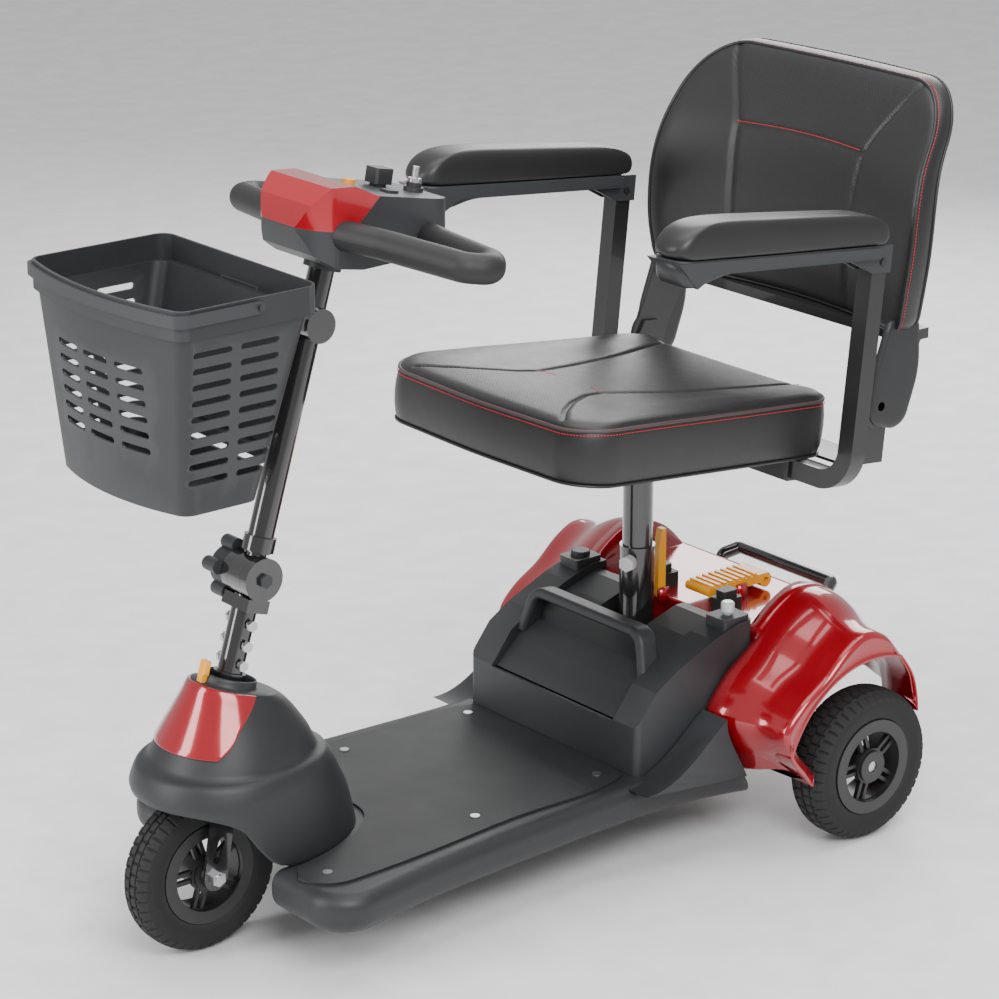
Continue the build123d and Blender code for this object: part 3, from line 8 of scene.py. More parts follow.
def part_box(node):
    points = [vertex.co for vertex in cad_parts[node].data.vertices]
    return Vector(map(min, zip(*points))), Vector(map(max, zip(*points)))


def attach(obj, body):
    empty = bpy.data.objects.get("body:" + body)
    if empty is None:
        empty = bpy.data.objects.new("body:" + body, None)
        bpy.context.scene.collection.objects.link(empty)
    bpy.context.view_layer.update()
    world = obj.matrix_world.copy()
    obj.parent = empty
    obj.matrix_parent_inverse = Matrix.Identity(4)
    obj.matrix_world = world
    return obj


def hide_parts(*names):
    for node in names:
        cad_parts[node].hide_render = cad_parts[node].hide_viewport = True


# Mobility scooter: the CAD frame keeps its place, and the soft and moulded pieces are made here around it.
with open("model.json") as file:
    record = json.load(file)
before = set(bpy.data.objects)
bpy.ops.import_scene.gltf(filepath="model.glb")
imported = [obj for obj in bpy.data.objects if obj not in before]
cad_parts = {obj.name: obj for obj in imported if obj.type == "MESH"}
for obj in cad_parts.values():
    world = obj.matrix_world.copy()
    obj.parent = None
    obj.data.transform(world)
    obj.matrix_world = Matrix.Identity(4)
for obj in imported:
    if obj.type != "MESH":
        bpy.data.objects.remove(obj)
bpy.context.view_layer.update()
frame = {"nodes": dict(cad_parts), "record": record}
scene = bpy.context.scene
MM = 0.001


def middle(node):
    """Centre of a CAD node's box."""
    low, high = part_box(node)
    return (low + high) / 2


REAR = middle("rear_tyre_left").x


def at(ahead, y, z):
    """Point in metres from millimetres ahead of the rear axle, left of the middle and above the ground."""
    return Vector((REAR + ahead * MM, y * MM, z * MM))


# ------------------------------------------------------------ materials
def shader(name):
    """New node material: its tree, its shader and its object coordinates."""
    made = bpy.data.materials.new(name)
    made.use_nodes = True
    tree = made.node_tree
    surface = tree.nodes["Principled BSDF"]
    place = tree.nodes.new("ShaderNodeTexCoord").outputs["Object"]
    return made, tree, surface, place


def noise(tree, place, scale, detail=4.0, roughness=0.55):
    node = tree.nodes.new("ShaderNodeTexNoise")
    node.inputs["Scale"].default_value = scale
    node.inputs["Detail"].default_value = detail
    node.inputs["Roughness"].default_value = roughness
    tree.links.new(place, node.inputs["Vector"])
    return node.outputs["Fac"]


def spread(tree, value, low, high):
    """A 0 to 1 value spread between two others."""
    node = tree.nodes.new("ShaderNodeMapRange")
    node.inputs["To Min"].default_value = low
    node.inputs["To Max"].default_value = high
    tree.links.new(value, node.inputs["Value"])
    return node.outputs["Result"]


def mixed(tree, factor, first, second):
    """Two colours mixed by a value; each is a colour or a socket."""
    node = tree.nodes.new("ShaderNodeMix")
    node.data_type = "RGBA"
    tree.links.new(factor, node.inputs["Factor"])
    for socket, colour in (("A", first), ("B", second)):
        target = [entry for entry in node.inputs if entry.name == socket and entry.type == "RGBA"][0]
        if isinstance(colour, bpy.types.NodeSocket):
            tree.links.new(colour, target)
        else:
            target.default_value = (*colour, 1.0)
    return [entry for entry in node.outputs if entry.type == "RGBA"][0]


def edge_wear(tree, low=0.52, high=0.6):
    """0 on flat and hollow places, rising to 1 on sharp outer edges."""
    geometry = tree.nodes.new("ShaderNodeNewGeometry")
    node = tree.nodes.new("ShaderNodeMapRange")
    node.inputs["From Min"].default_value = low
    node.inputs["From Max"].default_value = high
    tree.links.new(geometry.outputs["Pointiness"], node.inputs["Value"])
    return node.outputs["Result"]


def bump(tree, surface, height, strength, distance):
    node = tree.nodes.new("ShaderNodeBump")
    node.inputs["Strength"].default_value = strength
    node.inputs["Distance"].default_value = distance
    tree.links.new(height, node.inputs["Height"])
    tree.links.new(node.outputs["Normal"], surface.inputs["Normal"])


def scaled(colour, factor):
    return tuple(min(1.0, channel * factor) for channel in colour)


def moulded(name, colour, rough=(0.42, 0.56), grain=1500.0, strength=0.25, coat=0.0, wear=1.7):
    """Moulded plastic or rubber with a fine spark-eroded grain, slight clouding and paler edges."""
    made, tree, surface, place = shader(name)
    fine = noise(tree, place, grain, 2.0)
    cloud = noise(tree, place, 14.0, 5.0)
    base = mixed(tree, cloud, scaled(colour, 0.82), scaled(colour, 1.2))
    worn = mixed(tree, edge_wear(tree), base, scaled(colour, wear))
    tree.links.new(worn, surface.inputs["Base Color"])
    tree.links.new(spread(tree, cloud, *rough), surface.inputs["Roughness"])
    surface.inputs["Coat Weight"].default_value = coat
    surface.inputs["Coat Roughness"].default_value = 0.2
    bump(tree, surface, fine, strength, 0.0002)
    return made


def painted(name, colour, rough=(0.1, 0.22), metallic=0.0, coat=1.0, flake=0.0):
    """Gloss paint over a faint orange peel, with metal flake where asked."""
    made, tree, surface, place = shader(name)
    peel = noise(tree, place, 260.0, 2.0)
    cloud = noise(tree, place, 9.0, 4.0)
    speck = noise(tree, place, 4200.0, 1.0)
    base = mixed(tree, cloud, scaled(colour, 0.8), scaled(colour, 1.15))
    if flake:
        base = mixed(tree, spread(tree, speck, -flake, flake + 0.3), base, scaled(colour, 1.9))
    worn = mixed(tree, edge_wear(tree, 0.53, 0.64), base, scaled(colour, 1.5))
    tree.links.new(worn, surface.inputs["Base Color"])
    tree.links.new(spread(tree, cloud, *rough), surface.inputs["Roughness"])
    surface.inputs["Metallic"].default_value = metallic
    surface.inputs["Coat Weight"].default_value = coat
    surface.inputs["Coat Roughness"].default_value = 0.06
    bump(tree, surface, peel, 0.06, 0.0003)
    return made


def bare_metal(name, colour, rough=(0.25, 0.42)):
    """Plated or machined metal with faint streaks."""
    made, tree, surface, place = shader(name)
    stretch = tree.nodes.new("ShaderNodeMapping")
    stretch.inputs["Scale"].default_value = (30.0, 900.0, 900.0)
    tree.links.new(place, stretch.inputs["Vector"])
    streak = noise(tree, stretch.outputs["Vector"], 1.0, 3.0)
    cloud = noise(tree, place, 40.0)
    base = mixed(tree, cloud, scaled(colour, 0.75), scaled(colour, 1.1))
    tree.links.new(base, surface.inputs["Base Color"])
    tree.links.new(spread(tree, streak, *rough), surface.inputs["Roughness"])
    surface.inputs["Metallic"].default_value = 1.0
    bump(tree, surface, streak, 0.05, 0.0002)
    return made


def leather(name, colour, holes=None):
    """Leatherette with a pebbled grain; holes names the two axes that its perforation grid lies in."""
    made, tree, surface, place = shader(name)
    pebble = tree.nodes.new("ShaderNodeTexVoronoi")
    pebble.feature = "SMOOTH_F1"
    pebble.inputs["Scale"].default_value = 620.0
    tree.links.new(place, pebble.inputs["Vector"])
    crease = noise(tree, place, 55.0, 6.0, 0.6)
    cloud = noise(tree, place, 7.0)
    base = mixed(tree, cloud, scaled(colour, 0.8), scaled(colour, 1.3))
    height = tree.nodes.new("ShaderNodeMath")
    height.operation = "MULTIPLY_ADD"
    height.inputs[1].default_value = 0.35
    tree.links.new(pebble.outputs["Distance"], height.inputs[0])
    tree.links.new(crease, height.inputs[2])
    relief = height.outputs["Value"]
    if holes:
        turn = tree.nodes.new("ShaderNodeVectorMath")
        turn.operation = "MULTIPLY"
        axes = {"xy": (1.0, 1.0, 0.0), "yz": (0.0, 1.0, 1.0)}[holes]
        turn.inputs[1].default_value = axes
        tree.links.new(place, turn.inputs[0])
        split = tree.nodes.new("ShaderNodeSeparateXYZ")
        join = tree.nodes.new("ShaderNodeCombineXYZ")
        tree.links.new(turn.outputs["Vector"], split.inputs["Vector"])
        tree.links.new(split.outputs["XYZ".index(holes[0].upper())], join.inputs["X"])
        tree.links.new(split.outputs["XYZ".index(holes[1].upper())], join.inputs["Y"])
        tilt = tree.nodes.new("ShaderNodeMapping")
        tilt.inputs["Rotation"].default_value = (0.0, 0.0, math.radians(45.0))
        tree.links.new(join.outputs["Vector"], tilt.inputs["Vector"])
        dots = tree.nodes.new("ShaderNodeTexVoronoi")
        dots.voronoi_dimensions = "2D"
        dots.inputs["Scale"].default_value = 260.0
        dots.inputs["Randomness"].default_value = 0.0
        tree.links.new(tilt.outputs["Vector"], dots.inputs["Vector"])
        hole = tree.nodes.new("ShaderNodeMapRange")
        hole.inputs["From Min"].default_value = 0.2
        hole.inputs["From Max"].default_value = 0.34
        tree.links.new(dots.outputs["Distance"], hole.inputs["Value"])
        base = mixed(tree, hole.outputs["Result"], scaled(colour, 0.12), base)
        sunk = tree.nodes.new("ShaderNodeMath")
        sunk.operation = "MULTIPLY_ADD"
        sunk.inputs[1].default_value = 0.8
        tree.links.new(hole.outputs["Result"], sunk.inputs[0])
        tree.links.new(relief, sunk.inputs[2])
        relief = sunk.outputs["Value"]
    tree.links.new(base, surface.inputs["Base Color"])
    tree.links.new(spread(tree, crease, 0.36, 0.52), surface.inputs["Roughness"])
    surface.inputs["Coat Weight"].default_value = 0.15
    surface.inputs["Coat Roughness"].default_value = 0.35
    bump(tree, surface, relief, 0.45, 0.0005)
    return made


def ribbed(name, colour, spacing):
    """Rubber mat with fine ribs running along the deck."""
    made, tree, surface, place = shader(name)
    wave = tree.nodes.new("ShaderNodeTexWave")
    wave.bands_direction = "Y"
    wave.inputs["Scale"].default_value = 1.0 / spacing
    wave.inputs["Distortion"].default_value = 0.0
    tree.links.new(place, wave.inputs["Vector"])
    cloud = noise(tree, place, 22.0)
    base = mixed(tree, cloud, scaled(colour, 0.8), scaled(colour, 1.25))
    tree.links.new(base, surface.inputs["Base Color"])
    tree.links.new(spread(tree, cloud, 0.5, 0.66), surface.inputs["Roughness"])
    bump(tree, surface, wave.outputs["Fac"], 0.3, 0.0005)
    return made


CHARCOAL = moulded("charcoal_plastic_grain", (0.019, 0.020, 0.022))
CHARCOAL_SATIN = moulded("charcoal_plastic_satin", (0.016, 0.0165, 0.018), (0.34, 0.46), 1500.0, 0.15)
RED = painted("candy_red_gloss", (0.30, 0.003, 0.010), (0.12, 0.24), 0.25, 1.0, 0.3)
BLACK_GLOSS = painted("black_enamel", (0.012, 0.012, 0.013), (0.14, 0.24))
BLACK_SATIN = painted("black_powder_coat", (0.014, 0.014, 0.015), (0.34, 0.48), 0.0, 0.3)
ZINC = bare_metal("zinc_plate", (0.62, 0.62, 0.64))
IRON = moulded("cast_iron_paint", (0.06, 0.06, 0.063), (0.5, 0.7), 500.0, 0.6)
TYRE = moulded("tyre_rubber_black", (0.011, 0.011, 0.0115), (0.72, 0.88), 900.0, 0.4, 0.0, 2.2)
RIM = moulded("rim_plastic_black", (0.012, 0.012, 0.013), (0.36, 0.5), 1500.0, 0.15, 0.1)
LEATHER = leather("black_leatherette", (0.011, 0.011, 0.012))
LEATHER_SEAT = leather("black_leatherette_perforated_seat", (0.011, 0.011, 0.012), "xy")
LEATHER_BACK = leather("black_leatherette_perforated_back", (0.011, 0.011, 0.012), "yz")
PAD = moulded("armrest_skin", (0.012, 0.012, 0.013), (0.4, 0.52), 700.0, 0.35, 0.1)
MAT = ribbed("deck_mat_rubber", (0.017, 0.0175, 0.019), 0.012)
GRIP = moulded("grip_rubber", (0.012, 0.012, 0.013), (0.5, 0.64), 800.0, 0.4)
AMBER = moulded("amber_plastic_satin", (0.85, 0.36, 0.01), (0.3, 0.42), 1500.0, 0.1, 0.3, 1.1)
CLEAR = moulded("pale_knob_plastic", (0.55, 0.56, 0.57), (0.12, 0.24), 1500.0, 0.05, 0.8, 1.1)
CELL = moulded("cell_case_plastic", (0.016, 0.016, 0.018), (0.5, 0.6))
CABLE = moulded("cable_jacket_black", (0.02, 0.02, 0.02), (0.4, 0.55), 900.0, 0.2)
THREAD = moulded("red_thread", (0.4, 0.012, 0.018), (0.6, 0.75), 2600.0, 0.5)
PIPING = moulded("piping_cord", (0.05, 0.03, 0.032), (0.45, 0.6), 1800.0, 0.4)

BY_SLOT = {
    "tyre_rubber": TYRE,
    "rim_plastic": RIM,
    "charcoal_plastic": CHARCOAL,
    "red_plastic": RED,
    "black_steel": BLACK_GLOSS,
    "armrest_steel": BLACK_SATIN,
    "zinc_steel": ZINC,
    "gear_case": IRON,
    "leatherette": LEATHER,
    "pad_foam": PAD,
    "mat_rubber": MAT,
    "grip_foam": GRIP,
    "clear_knob": CLEAR,
    "amber_plastic": AMBER,
    "cell_case": CELL,
    "cable_jacket": CABLE,
}
for entry in frame["record"]["subparts"]:
    node = frame["nodes"][entry["node"]]
    node.data.materials.clear()
    node.data.materials.append(BY_SLOT[entry["material_slot"]])
for node_name in ("lower_column", "upper_column", "seat_post"):
    frame["nodes"][node_name].data.materials[0] = BLACK_GLOSS


# ------------------------------------------------------------ mesh helpers
def finish_mesh(name, built, body, slot, *materials):
    """Turns a bmesh into a piece that rides on a body."""
    bmesh.ops.recalc_face_normals(built, faces=built.faces)
    mesh = bpy.data.meshes.new(name)
    built.to_mesh(mesh)
    built.free()
    for face in mesh.polygons:
        face.use_smooth = True
    for entry in materials:
        mesh.materials.append(entry)
    piece = bpy.data.objects.new(name, mesh)
    scene.collection.objects.link(piece)
    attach(piece, body)
    return piece


def add_rings(built, rings, closed=True, capped=True):
    """Quads between successive rings of points, with a cap at each end where asked."""
    rows = [[built.verts.new(point) for point in ring] for ring in rings]
    count = len(rows[0])
    last = count if closed else count - 1
    for low, high in zip(rows, rows[1:]):
        for i in range(last):
            j = (i + 1) % count
            built.faces.new((low[i], low[j], high[j], high[i]))
    if capped:
        built.faces.new(rows[0])
        built.faces.new(list(reversed(rows[-1])))
    return rows


def rounded_outline(corners, step):
    """Closed outline with rounded corners: each corner is (x, y, radius), points about a step apart."""
    runs = []
    count = len(corners)
    for i in range(count):
        x, y, radius = corners[i]
        here = Vector((x, y))
        before = (Vector(corners[i - 1][:2]) - here).normalized()
        after = (Vector(corners[(i + 1) % count][:2]) - here).normalized()
        half = before.angle(after) / 2
        centre = here + (before + after).normalized() * (radius / math.sin(half))
        start = here + before * (radius / math.tan(half)) - centre
        end = here + after * (radius / math.tan(half)) - centre
        turn = start.angle_signed(end)
        parts = max(2, int(abs(turn) * radius / step))
        for k in range(parts + 1):
            spun = start.copy()
            spun.rotate(Matrix.Rotation(-turn * k / parts, 2))
            runs.append(centre + spun)
    points = []
    for i, point in enumerate(runs):
        follow = runs[(i + 1) % len(runs)]
        parts = max(1, int((follow - point).length / step))
        points.extend(point.lerp(follow, k / parts) for k in range(parts))
    return points


def away(point, line):
    """Distance from a point to a polyline."""
    nearest = 1e9
    for start, end in zip(line, line[1:]):
        run = end - start
        share = max(0.0, min(1.0, (point - start).dot(run) / run.length_squared))
        nearest = min(nearest, (point - start - run * share).length)
    return nearest


def cushion(name, outline, place, profile, seams, depth, body, slot, skins, panel=None):
    """Stuffed form: rings of the outline shrunk by s at thickness t, laid in space by place(a, b, t).

    Seams are polylines sunk by depth into the face at t = 1; panel(a, b) picks the second skin."""
    centre = sum(outline, Vector((0, 0))) / len(outline)
    built = bmesh.new()
    rings = []
    flat = []
    for s, t in profile:
        ring = []
        for point in outline:
            spot = centre + (point - centre) * s
            sink = 0.0
            if t > 0.9 and seams:
                near = min(away(spot, seam) for seam in seams)
                sink = depth * math.exp(-((near / 3.4) ** 2))
            ring.append(place(spot.x, spot.y, t, sink))
            flat.append((spot, t))
        rings.append(ring)
    add_rings(built, rings)
    if panel:
        built.verts.index_update()
        for face in built.faces:
            if len(face.verts) > 4:
                face.material_index = 1 if flat[face.verts[0].index][1] > 0.9 else 0
                continue
            spots = [flat[vertex.index] for vertex in face.verts]
            if min(t for _, t in spots) > 0.9:
                middle_spot = sum((spot for spot, _ in spots), Vector((0, 0))) / 4
                face.material_index = 1 if panel(middle_spot.x, middle_spot.y) else 0
    return finish_mesh(name, built, body, slot, *skins)


def tube(name, points, radius, body, slot, skin, closed=False, sides=10):
    """Round tube through points."""
    built = bmesh.new()
    count = len(points)
    rings = []
    up = None
    for i, point in enumerate(points):
        if closed:
            heading = (points[(i + 1) % count] - points[i - 1]).normalized()
        else:
            heading = (points[min(i + 1, count - 1)] - points[max(i - 1, 0)]).normalized()
        if up is None:
            up = heading.orthogonal().normalized()
        up = (up - heading * up.dot(heading)).normalized()
        across = heading.cross(up)
        width = radius[i] if isinstance(radius, list) else radius
        rings.append(
            [
                point + (up * math.cos(turn) + across * math.sin(turn)) * width
                for turn in (2 * math.pi * k / sides for k in range(sides))
            ]
        )
    if closed:
        rings.append(rings[0])
    add_rings(built, rings, True, not closed)
    if closed:
        bmesh.ops.remove_doubles(built, verts=built.verts, dist=1e-6)
    return finish_mesh(name, built, body, slot, skin)


def stitches(name, lines, pitch, length, radius, body, slot, skin):
    """Short threads laid end to end along lines of points."""
    built = bmesh.new()
    for line in lines:
        gone = 0.0
        for start, end in zip(line, line[1:]):
            run = end - start
            if run.length < 1e-9:
                continue
            heading = run.normalized()
            while gone < run.length:
                middle_point = start + heading * gone
                up = heading.orthogonal().normalized()
                across = heading.cross(up)
                rings = []
                for along, thick in ((-0.5, 0.3), (-0.3, 1.0), (0.3, 1.0), (0.5, 0.3)):
                    base = middle_point + heading * along * length
                    rings.append(
                        [
                            base + (up * math.cos(turn) + across * math.sin(turn)) * radius * thick
                            for turn in (math.pi / 3 * k for k in range(6))
                        ]
                    )
                add_rings(built, rings)
                gone += pitch
            gone -= run.length
    return finish_mesh(name, built, body, slot, skin)


# ------------------------------------------------------------ camera, lights and floor
YAW = math.radians(230.76)
PITCH = math.radians(18.89)
camera_data = bpy.data.cameras.new("camera")
camera_data.lens = 122.4
camera_data.sensor_width = 36.0
camera = bpy.data.objects.new("camera", camera_data)
camera.location = at(2944.0, 3136.0, 1858.0)
look = Vector((math.cos(YAW) * math.cos(PITCH), math.sin(YAW) * math.cos(PITCH), -math.sin(PITCH)))
camera.rotation_euler = look.to_track_quat("-Z", "Y").to_euler()
scene.collection.objects.link(camera)
scene.camera = camera


def area_light(name, place, target, size, power, tint=(1.0, 1.0, 1.0)):
    data = bpy.data.lights.new(name, "AREA")
    data.shape = "RECTANGLE"
    data.size, data.size_y = size
    data.energy = power
    data.color = tint
    lamp = bpy.data.objects.new(name, data)
    lamp.location = place
    lamp.rotation_euler = (Vector(target) - Vector(place)).to_track_quat("-Z", "Y").to_euler()
    scene.collection.objects.link(lamp)


AIM = (0.0, 0.0, 0.45)
area_light("key", (1.2, 2.6, 2.8), AIM, (2.2, 1.6), 110.0)
area_light("front_strip", (3.0, -0.6, 1.6), AIM, (0.8, 2.2), 60.0)
area_light("top", (-0.3, 0.0, 3.2), AIM, (2.6, 2.6), 70.0)
area_light("back", (-2.4, -1.8, 1.8), AIM, (1.6, 1.8), 50.0)
world = bpy.data.worlds.new("studio")
world.use_nodes = True
world.node_tree.nodes["Background"].inputs["Color"].default_value = (1.0, 1.0, 1.0, 1.0)
world.node_tree.nodes["Background"].inputs["Strength"].default_value = 0.6
scene.world = world

floor_build = bmesh.new()
bmesh.ops.create_grid(floor_build, x_segments=1, y_segments=1, size=30.0)
floor_mesh = bpy.data.meshes.new("floor")
floor_build.to_mesh(floor_mesh)
floor_build.free()
floor = bpy.data.objects.new("floor", floor_mesh)
floor.data.materials.append(moulded("floor_white", (0.93, 0.93, 0.93), (0.8, 0.9), 50.0, 0.0, 0.0, 1.0))
scene.collection.objects.link(floor)

# ------------------------------------------------------------ seat and backrest
TILT = math.radians(6.0)
SEAT_FORWARD = Vector((math.cos(TILT), 0.0, math.sin(TILT)))
SEAT_UP = Vector((-math.sin(TILT), 0.0, math.cos(TILT)))
SEAT_ORIGIN = at(149.0, 0.0, 510.0)


def on_seat(a, b, z):
    """Point from millimetres forward, left and up along the seat's tilted axes."""
    return SEAT_ORIGIN + SEAT_FORWARD * a * MM + Vector((0.0, b * MM, 0.0)) + SEAT_UP * z * MM


def curve(table, value):
    """Smooth curve through (x, y) pairs."""
    if value <= table[0][0]:
        return table[0][1]
    if value >= table[-1][0]:
        return table[-1][1]
    slopes = []
    for i in range(len(table)):
        low = table[max(i - 1, 0)]
        high = table[min(i + 1, len(table) - 1)]
        slopes.append((high[1] - low[1]) / (high[0] - low[0]))
    for i in range(len(table) - 1):
        (x0, y0), (x1, y1) = table[i], table[i + 1]
        if value <= x1:
            span = x1 - x0
            u = (value - x0) / span
            return (
                y0 * (1 + 2 * u) * (1 - u) ** 2
                + slopes[i] * span * u * (1 - u) ** 2
                + y1 * u * u * (3 - 2 * u)
                + slopes[i + 1] * span * u * u * (u - 1)
            )
    return table[-1][1]


def both_sides(line):
    """A polyline and its mirror image across the middle, as 2D vectors."""
    return [[Vector((x, sign * y)) for x, y in line] for sign in (1, -1)]


def cushion_profile(edge, step):
    """(s, t) pairs: flat base, soft side, rounded top edge and the face in to its middle."""
    pairs = [(0.02, 0.0), (0.5, 0.0), (0.86, 0.0), (0.94, 0.005), (0.968, 0.03), (0.984, 0.08)]
    pairs += [(0.995, 0.18), (1.002, 0.34), (1.004, 0.5), (1.002, 0.66), (0.997, 0.78), (0.991, 0.86)]
    pairs += [(0.984, 0.905), (0.977, 0.94), (0.967, 0.966), (0.953, 0.984), (edge, 0.994)]
    count = int(edge / step)
    pairs += [(edge * (1 - k / count), 1.0) for k in range(1, count)]
    return pairs


SEAT_OUTLINE = rounded_outline(
    [(-158, -192, 34), (274, -205, 58), (283, 0, 900), (274, 205, 58), (-158, 192, 34)], 4.0
)
SEAT_SEAM = [(-150, 126), (-60, 104), (40, 82), (105, 67), (129, 62)]
SEAT_SEAM += [(160, 68), (205, 94), (240, 122), (262, 146)]


def seat_height(a, b):
    """Height of the seat's face over its base: a raised rim, a dished middle and a rolled front."""
    across = min(1.0, abs(b) / 205.0)
    dish = 6.0 * math.exp(-(((a - 10.0) / 130.0) ** 2)) * (1 - across ** 2)
    bolster = 3.5 * math.exp(-(((abs(b) - 160.0) / 34.0) ** 2)) * (1 - max(0.0, (a - 120.0) / 160.0))
    roll = 7.0 * max(0.0, (a - 200.0) / 83.0) ** 2
    return 85.0 - dish + bolster - roll


def seat_place(a, b, t, sink):
    return on_seat(a, b, 0.5 + t * seat_height(a, b) - sink)


seat = cushion(
    "seat_cushion_cover",
    SEAT_OUTLINE,
    seat_place,
    cushion_profile(0.935, 0.017),
    both_sides(SEAT_SEAM),
    3.2,
    "seat",
    "leatherette",
    (LEATHER, LEATHER_SEAT),
    lambda a, b: a < 268 and abs(b) < curve(SEAT_SEAM, a),
)
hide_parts("seat_cushion")

seat_centre = sum(SEAT_OUTLINE, Vector((0, 0))) / len(SEAT_OUTLINE)


def seat_edge(s, t, lift):
    """Loop of points around the seat's edge."""
    loop = []
    for point in SEAT_OUTLINE:
        spot = seat_centre + (point - seat_centre) * s
        loop.append(on_seat(spot.x, spot.y, 0.5 + t * seat_height(spot.x, spot.y) + lift))
    return loop


tube("seat_piping", seat_edge(0.989, 0.90, 0.0), 2.3 * MM, "seat", "leatherette", PIPING, True)
tube("seat_lower_piping", seat_edge(0.989, 0.07, 0.0), 1.8 * MM, "seat", "leatherette", LEATHER, True, 8)
edge_line = seat_edge(0.9975, 0.84, 0.0)
STITCH_OFFSET = 3.4
seam_lines = [
    [on_seat(p.x, p.y + STITCH_OFFSET * sign, seat_height(p.x, p.y) - 0.3) for p in seam]
    for seam, sign in zip(both_sides(SEAT_SEAM), (1, -1))
]
accents = [
    [on_seat(129 - 7 * k / 4, sign * (60 - 26 * k / 4), 0.7 + seat_height(125, 50)) for k in range(5)]
    for sign in (1, -1)
]
RED_STITCH = (4.2 * MM, 3.0 * MM, 0.55 * MM)
SEAM_STITCH = (5.0 * MM, 3.4 * MM, 0.5 * MM)
red_lines = [edge_line + edge_line[:1], *accents]
stitches("seat_stitching", red_lines, *RED_STITCH, "seat", "leatherette", THREAD)
stitches("seat_seam_stitching", seam_lines, *SEAM_STITCH, "seat", "leatherette", LEATHER)

BACK_OUTLINE = rounded_outline(
    [(-234, 653, 28), (-258, 770, 420), (-224, 962, 84), (224, 962, 84), (258, 770, 420), (234, 653, 28)], 4.5
)
BACK_SEAM = [(957, 172), (925, 152), (890, 130), (864, 118), (800, 113), (720, 110), (656, 110)]
BACK_MIDDLE = [(650, -118), (740, -116), (850, -127), (925, -160), (965, -186)]
BACK_WING = [(650, -74), (740, -78), (850, -97), (925, -141), (965, -174)]
BACK_DEPTH = [(650, 52), (740, 58), (850, 54), (925, 46), (965, 36)]


def back_place(y, z, t, sink):
    """Backrest point: across, height, share of the depth from rear to front, and how far it is sunk."""
    turn = min(1.0, abs(y) / 250.0) ** 2
    front = curve(BACK_MIDDLE, z) * (1 - turn) + curve(BACK_WING, z) * turn
    depth = curve(BACK_DEPTH, z) * (1 - 0.28 * turn)
    lumbar = 3.0 * math.exp(-(((z - 730.0) / 60.0) ** 2)) * (1 - turn)
    return at(front - depth + t * (depth + lumbar) - sink, y, z)


back_seams = [[Vector((sign * y, z)) for z, y in BACK_SEAM] for sign in (1, -1)]
cross_seam = [Vector((y, 864 + 3 * math.cos(y / 75.0))) for y in range(-118, 119, 12)]
SEAM_BY_HEIGHT = sorted(BACK_SEAM)
back = cushion(
    "back_cushion_cover",
    BACK_OUTLINE,
    back_place,
    cushion_profile(0.935, 0.019),
    [*back_seams, cross_seam],
    3.4,
    "backrest",
    "leatherette",
    (LEATHER, LEATHER_BACK),
    lambda y, z: z < 950 and abs(y) < curve(SEAM_BY_HEIGHT, z),
)
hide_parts("back_cushion")
back_centre = sum(BACK_OUTLINE, Vector((0, 0))) / len(BACK_OUTLINE)


def back_edge(s, t):
    """Loop of points around the backrest's edge."""
    spots = [back_centre + (point - back_centre) * s for point in BACK_OUTLINE]
    return [back_place(spot.x, spot.y, t, 0.0) for spot in spots]


tube("back_front_piping", back_edge(0.990, 0.90), 2.4 * MM, "backrest", "leatherette", LEATHER, True)
tube("back_rear_piping", back_edge(0.988, 0.07), 2.2 * MM, "backrest", "leatherette", LEATHER, True)
back_edge_line = back_edge(0.9985, 0.82)
cross_line = [back_place(p.x, p.y + 2.6, 1.0, 0.2) for p in cross_seam]
red_lines = [back_edge_line + back_edge_line[:1], cross_line]
stitches("back_stitching", red_lines, *RED_STITCH, "backrest", "leatherette", THREAD)

COVER_INNER_Y = 219.0
COVER_THICKNESS = 9.0
COVER_PROFILE = [(0.02, 0.0), (0.9, 0.0), (1.0, 0.08), (1.0, 0.6), (0.975, 0.85), (0.93, 0.97)]
COVER_PROFILE += [(0.85, 1.0), (0.4, 1.0), (0.02, 1.0)]
COVER_OUTLINE = rounded_outline(
    [(-104, 522, 26), (-132, 600, 120), (-128, 672, 12), (-74, 672, 12), (-48, 600, 120), (-42, 540, 22)], 5.0
)
for side, left in (("left", 1), ("right", -1)):
    cushion(
        f"hinge_cover_{side}",
        COVER_OUTLINE,
        lambda x, z, t, sink: at(x, left * (COVER_INNER_Y + COVER_THICKNESS * t), z),
        COVER_PROFILE,
        [],
        0.0,
        "backrest",
        "charcoal_plastic",
        (CHARCOAL_SATIN,),
    )

# ------------------------------------------------------------ armrests
PAD_CORNERS = [(-150, -25, 12), (60, -29, 400), (206, -29, 20), (219, 0, 40)]
PAD_CORNERS += [(206, 29, 20), (60, 29, 400), (-150, 25, 12)]
PAD_OUTLINE = rounded_outline(PAD_CORNERS, 4.0)
PAD_MIDDLE_Y = 242.5
PAD_BASE = 296.5
SHELL_TOP = 296.0
PAD_PROFILE = [(0.02, 0.0), (0.6, 0.0), (0.9, 0.0), (0.965, 0.03), (0.99, 0.1), (1.0, 0.25), (1.0, 0.42)]
PAD_PROFILE += [(0.985, 0.6), (0.955, 0.74), (0.91, 0.85), (0.84, 0.93), (0.74, 0.98)]
PAD_PROFILE += [(0.6, 1.0), (0.4, 1.01), (0.2, 1.01), (0.02, 1.01)]
SHELL_PROFILE = [(0.02, 0.0), (0.6, 0.0), (0.85, 0.0), (0.93, 0.05), (0.965, 0.2), (0.98, 0.5), (0.985, 1.0)]
SHELL_PROFILE += [(0.9, 1.0), (0.5, 1.0), (0.02, 1.0)]
SHELL_LOW = [(-150, 288), (-118, 282), (60, 280), (130, 276), (170, 266), (196, 262), (219, 274)]
PAD_TOP = [(-150, 334), (-60, 337), (60, 340), (150, 341), (196, 335), (219, 322)]
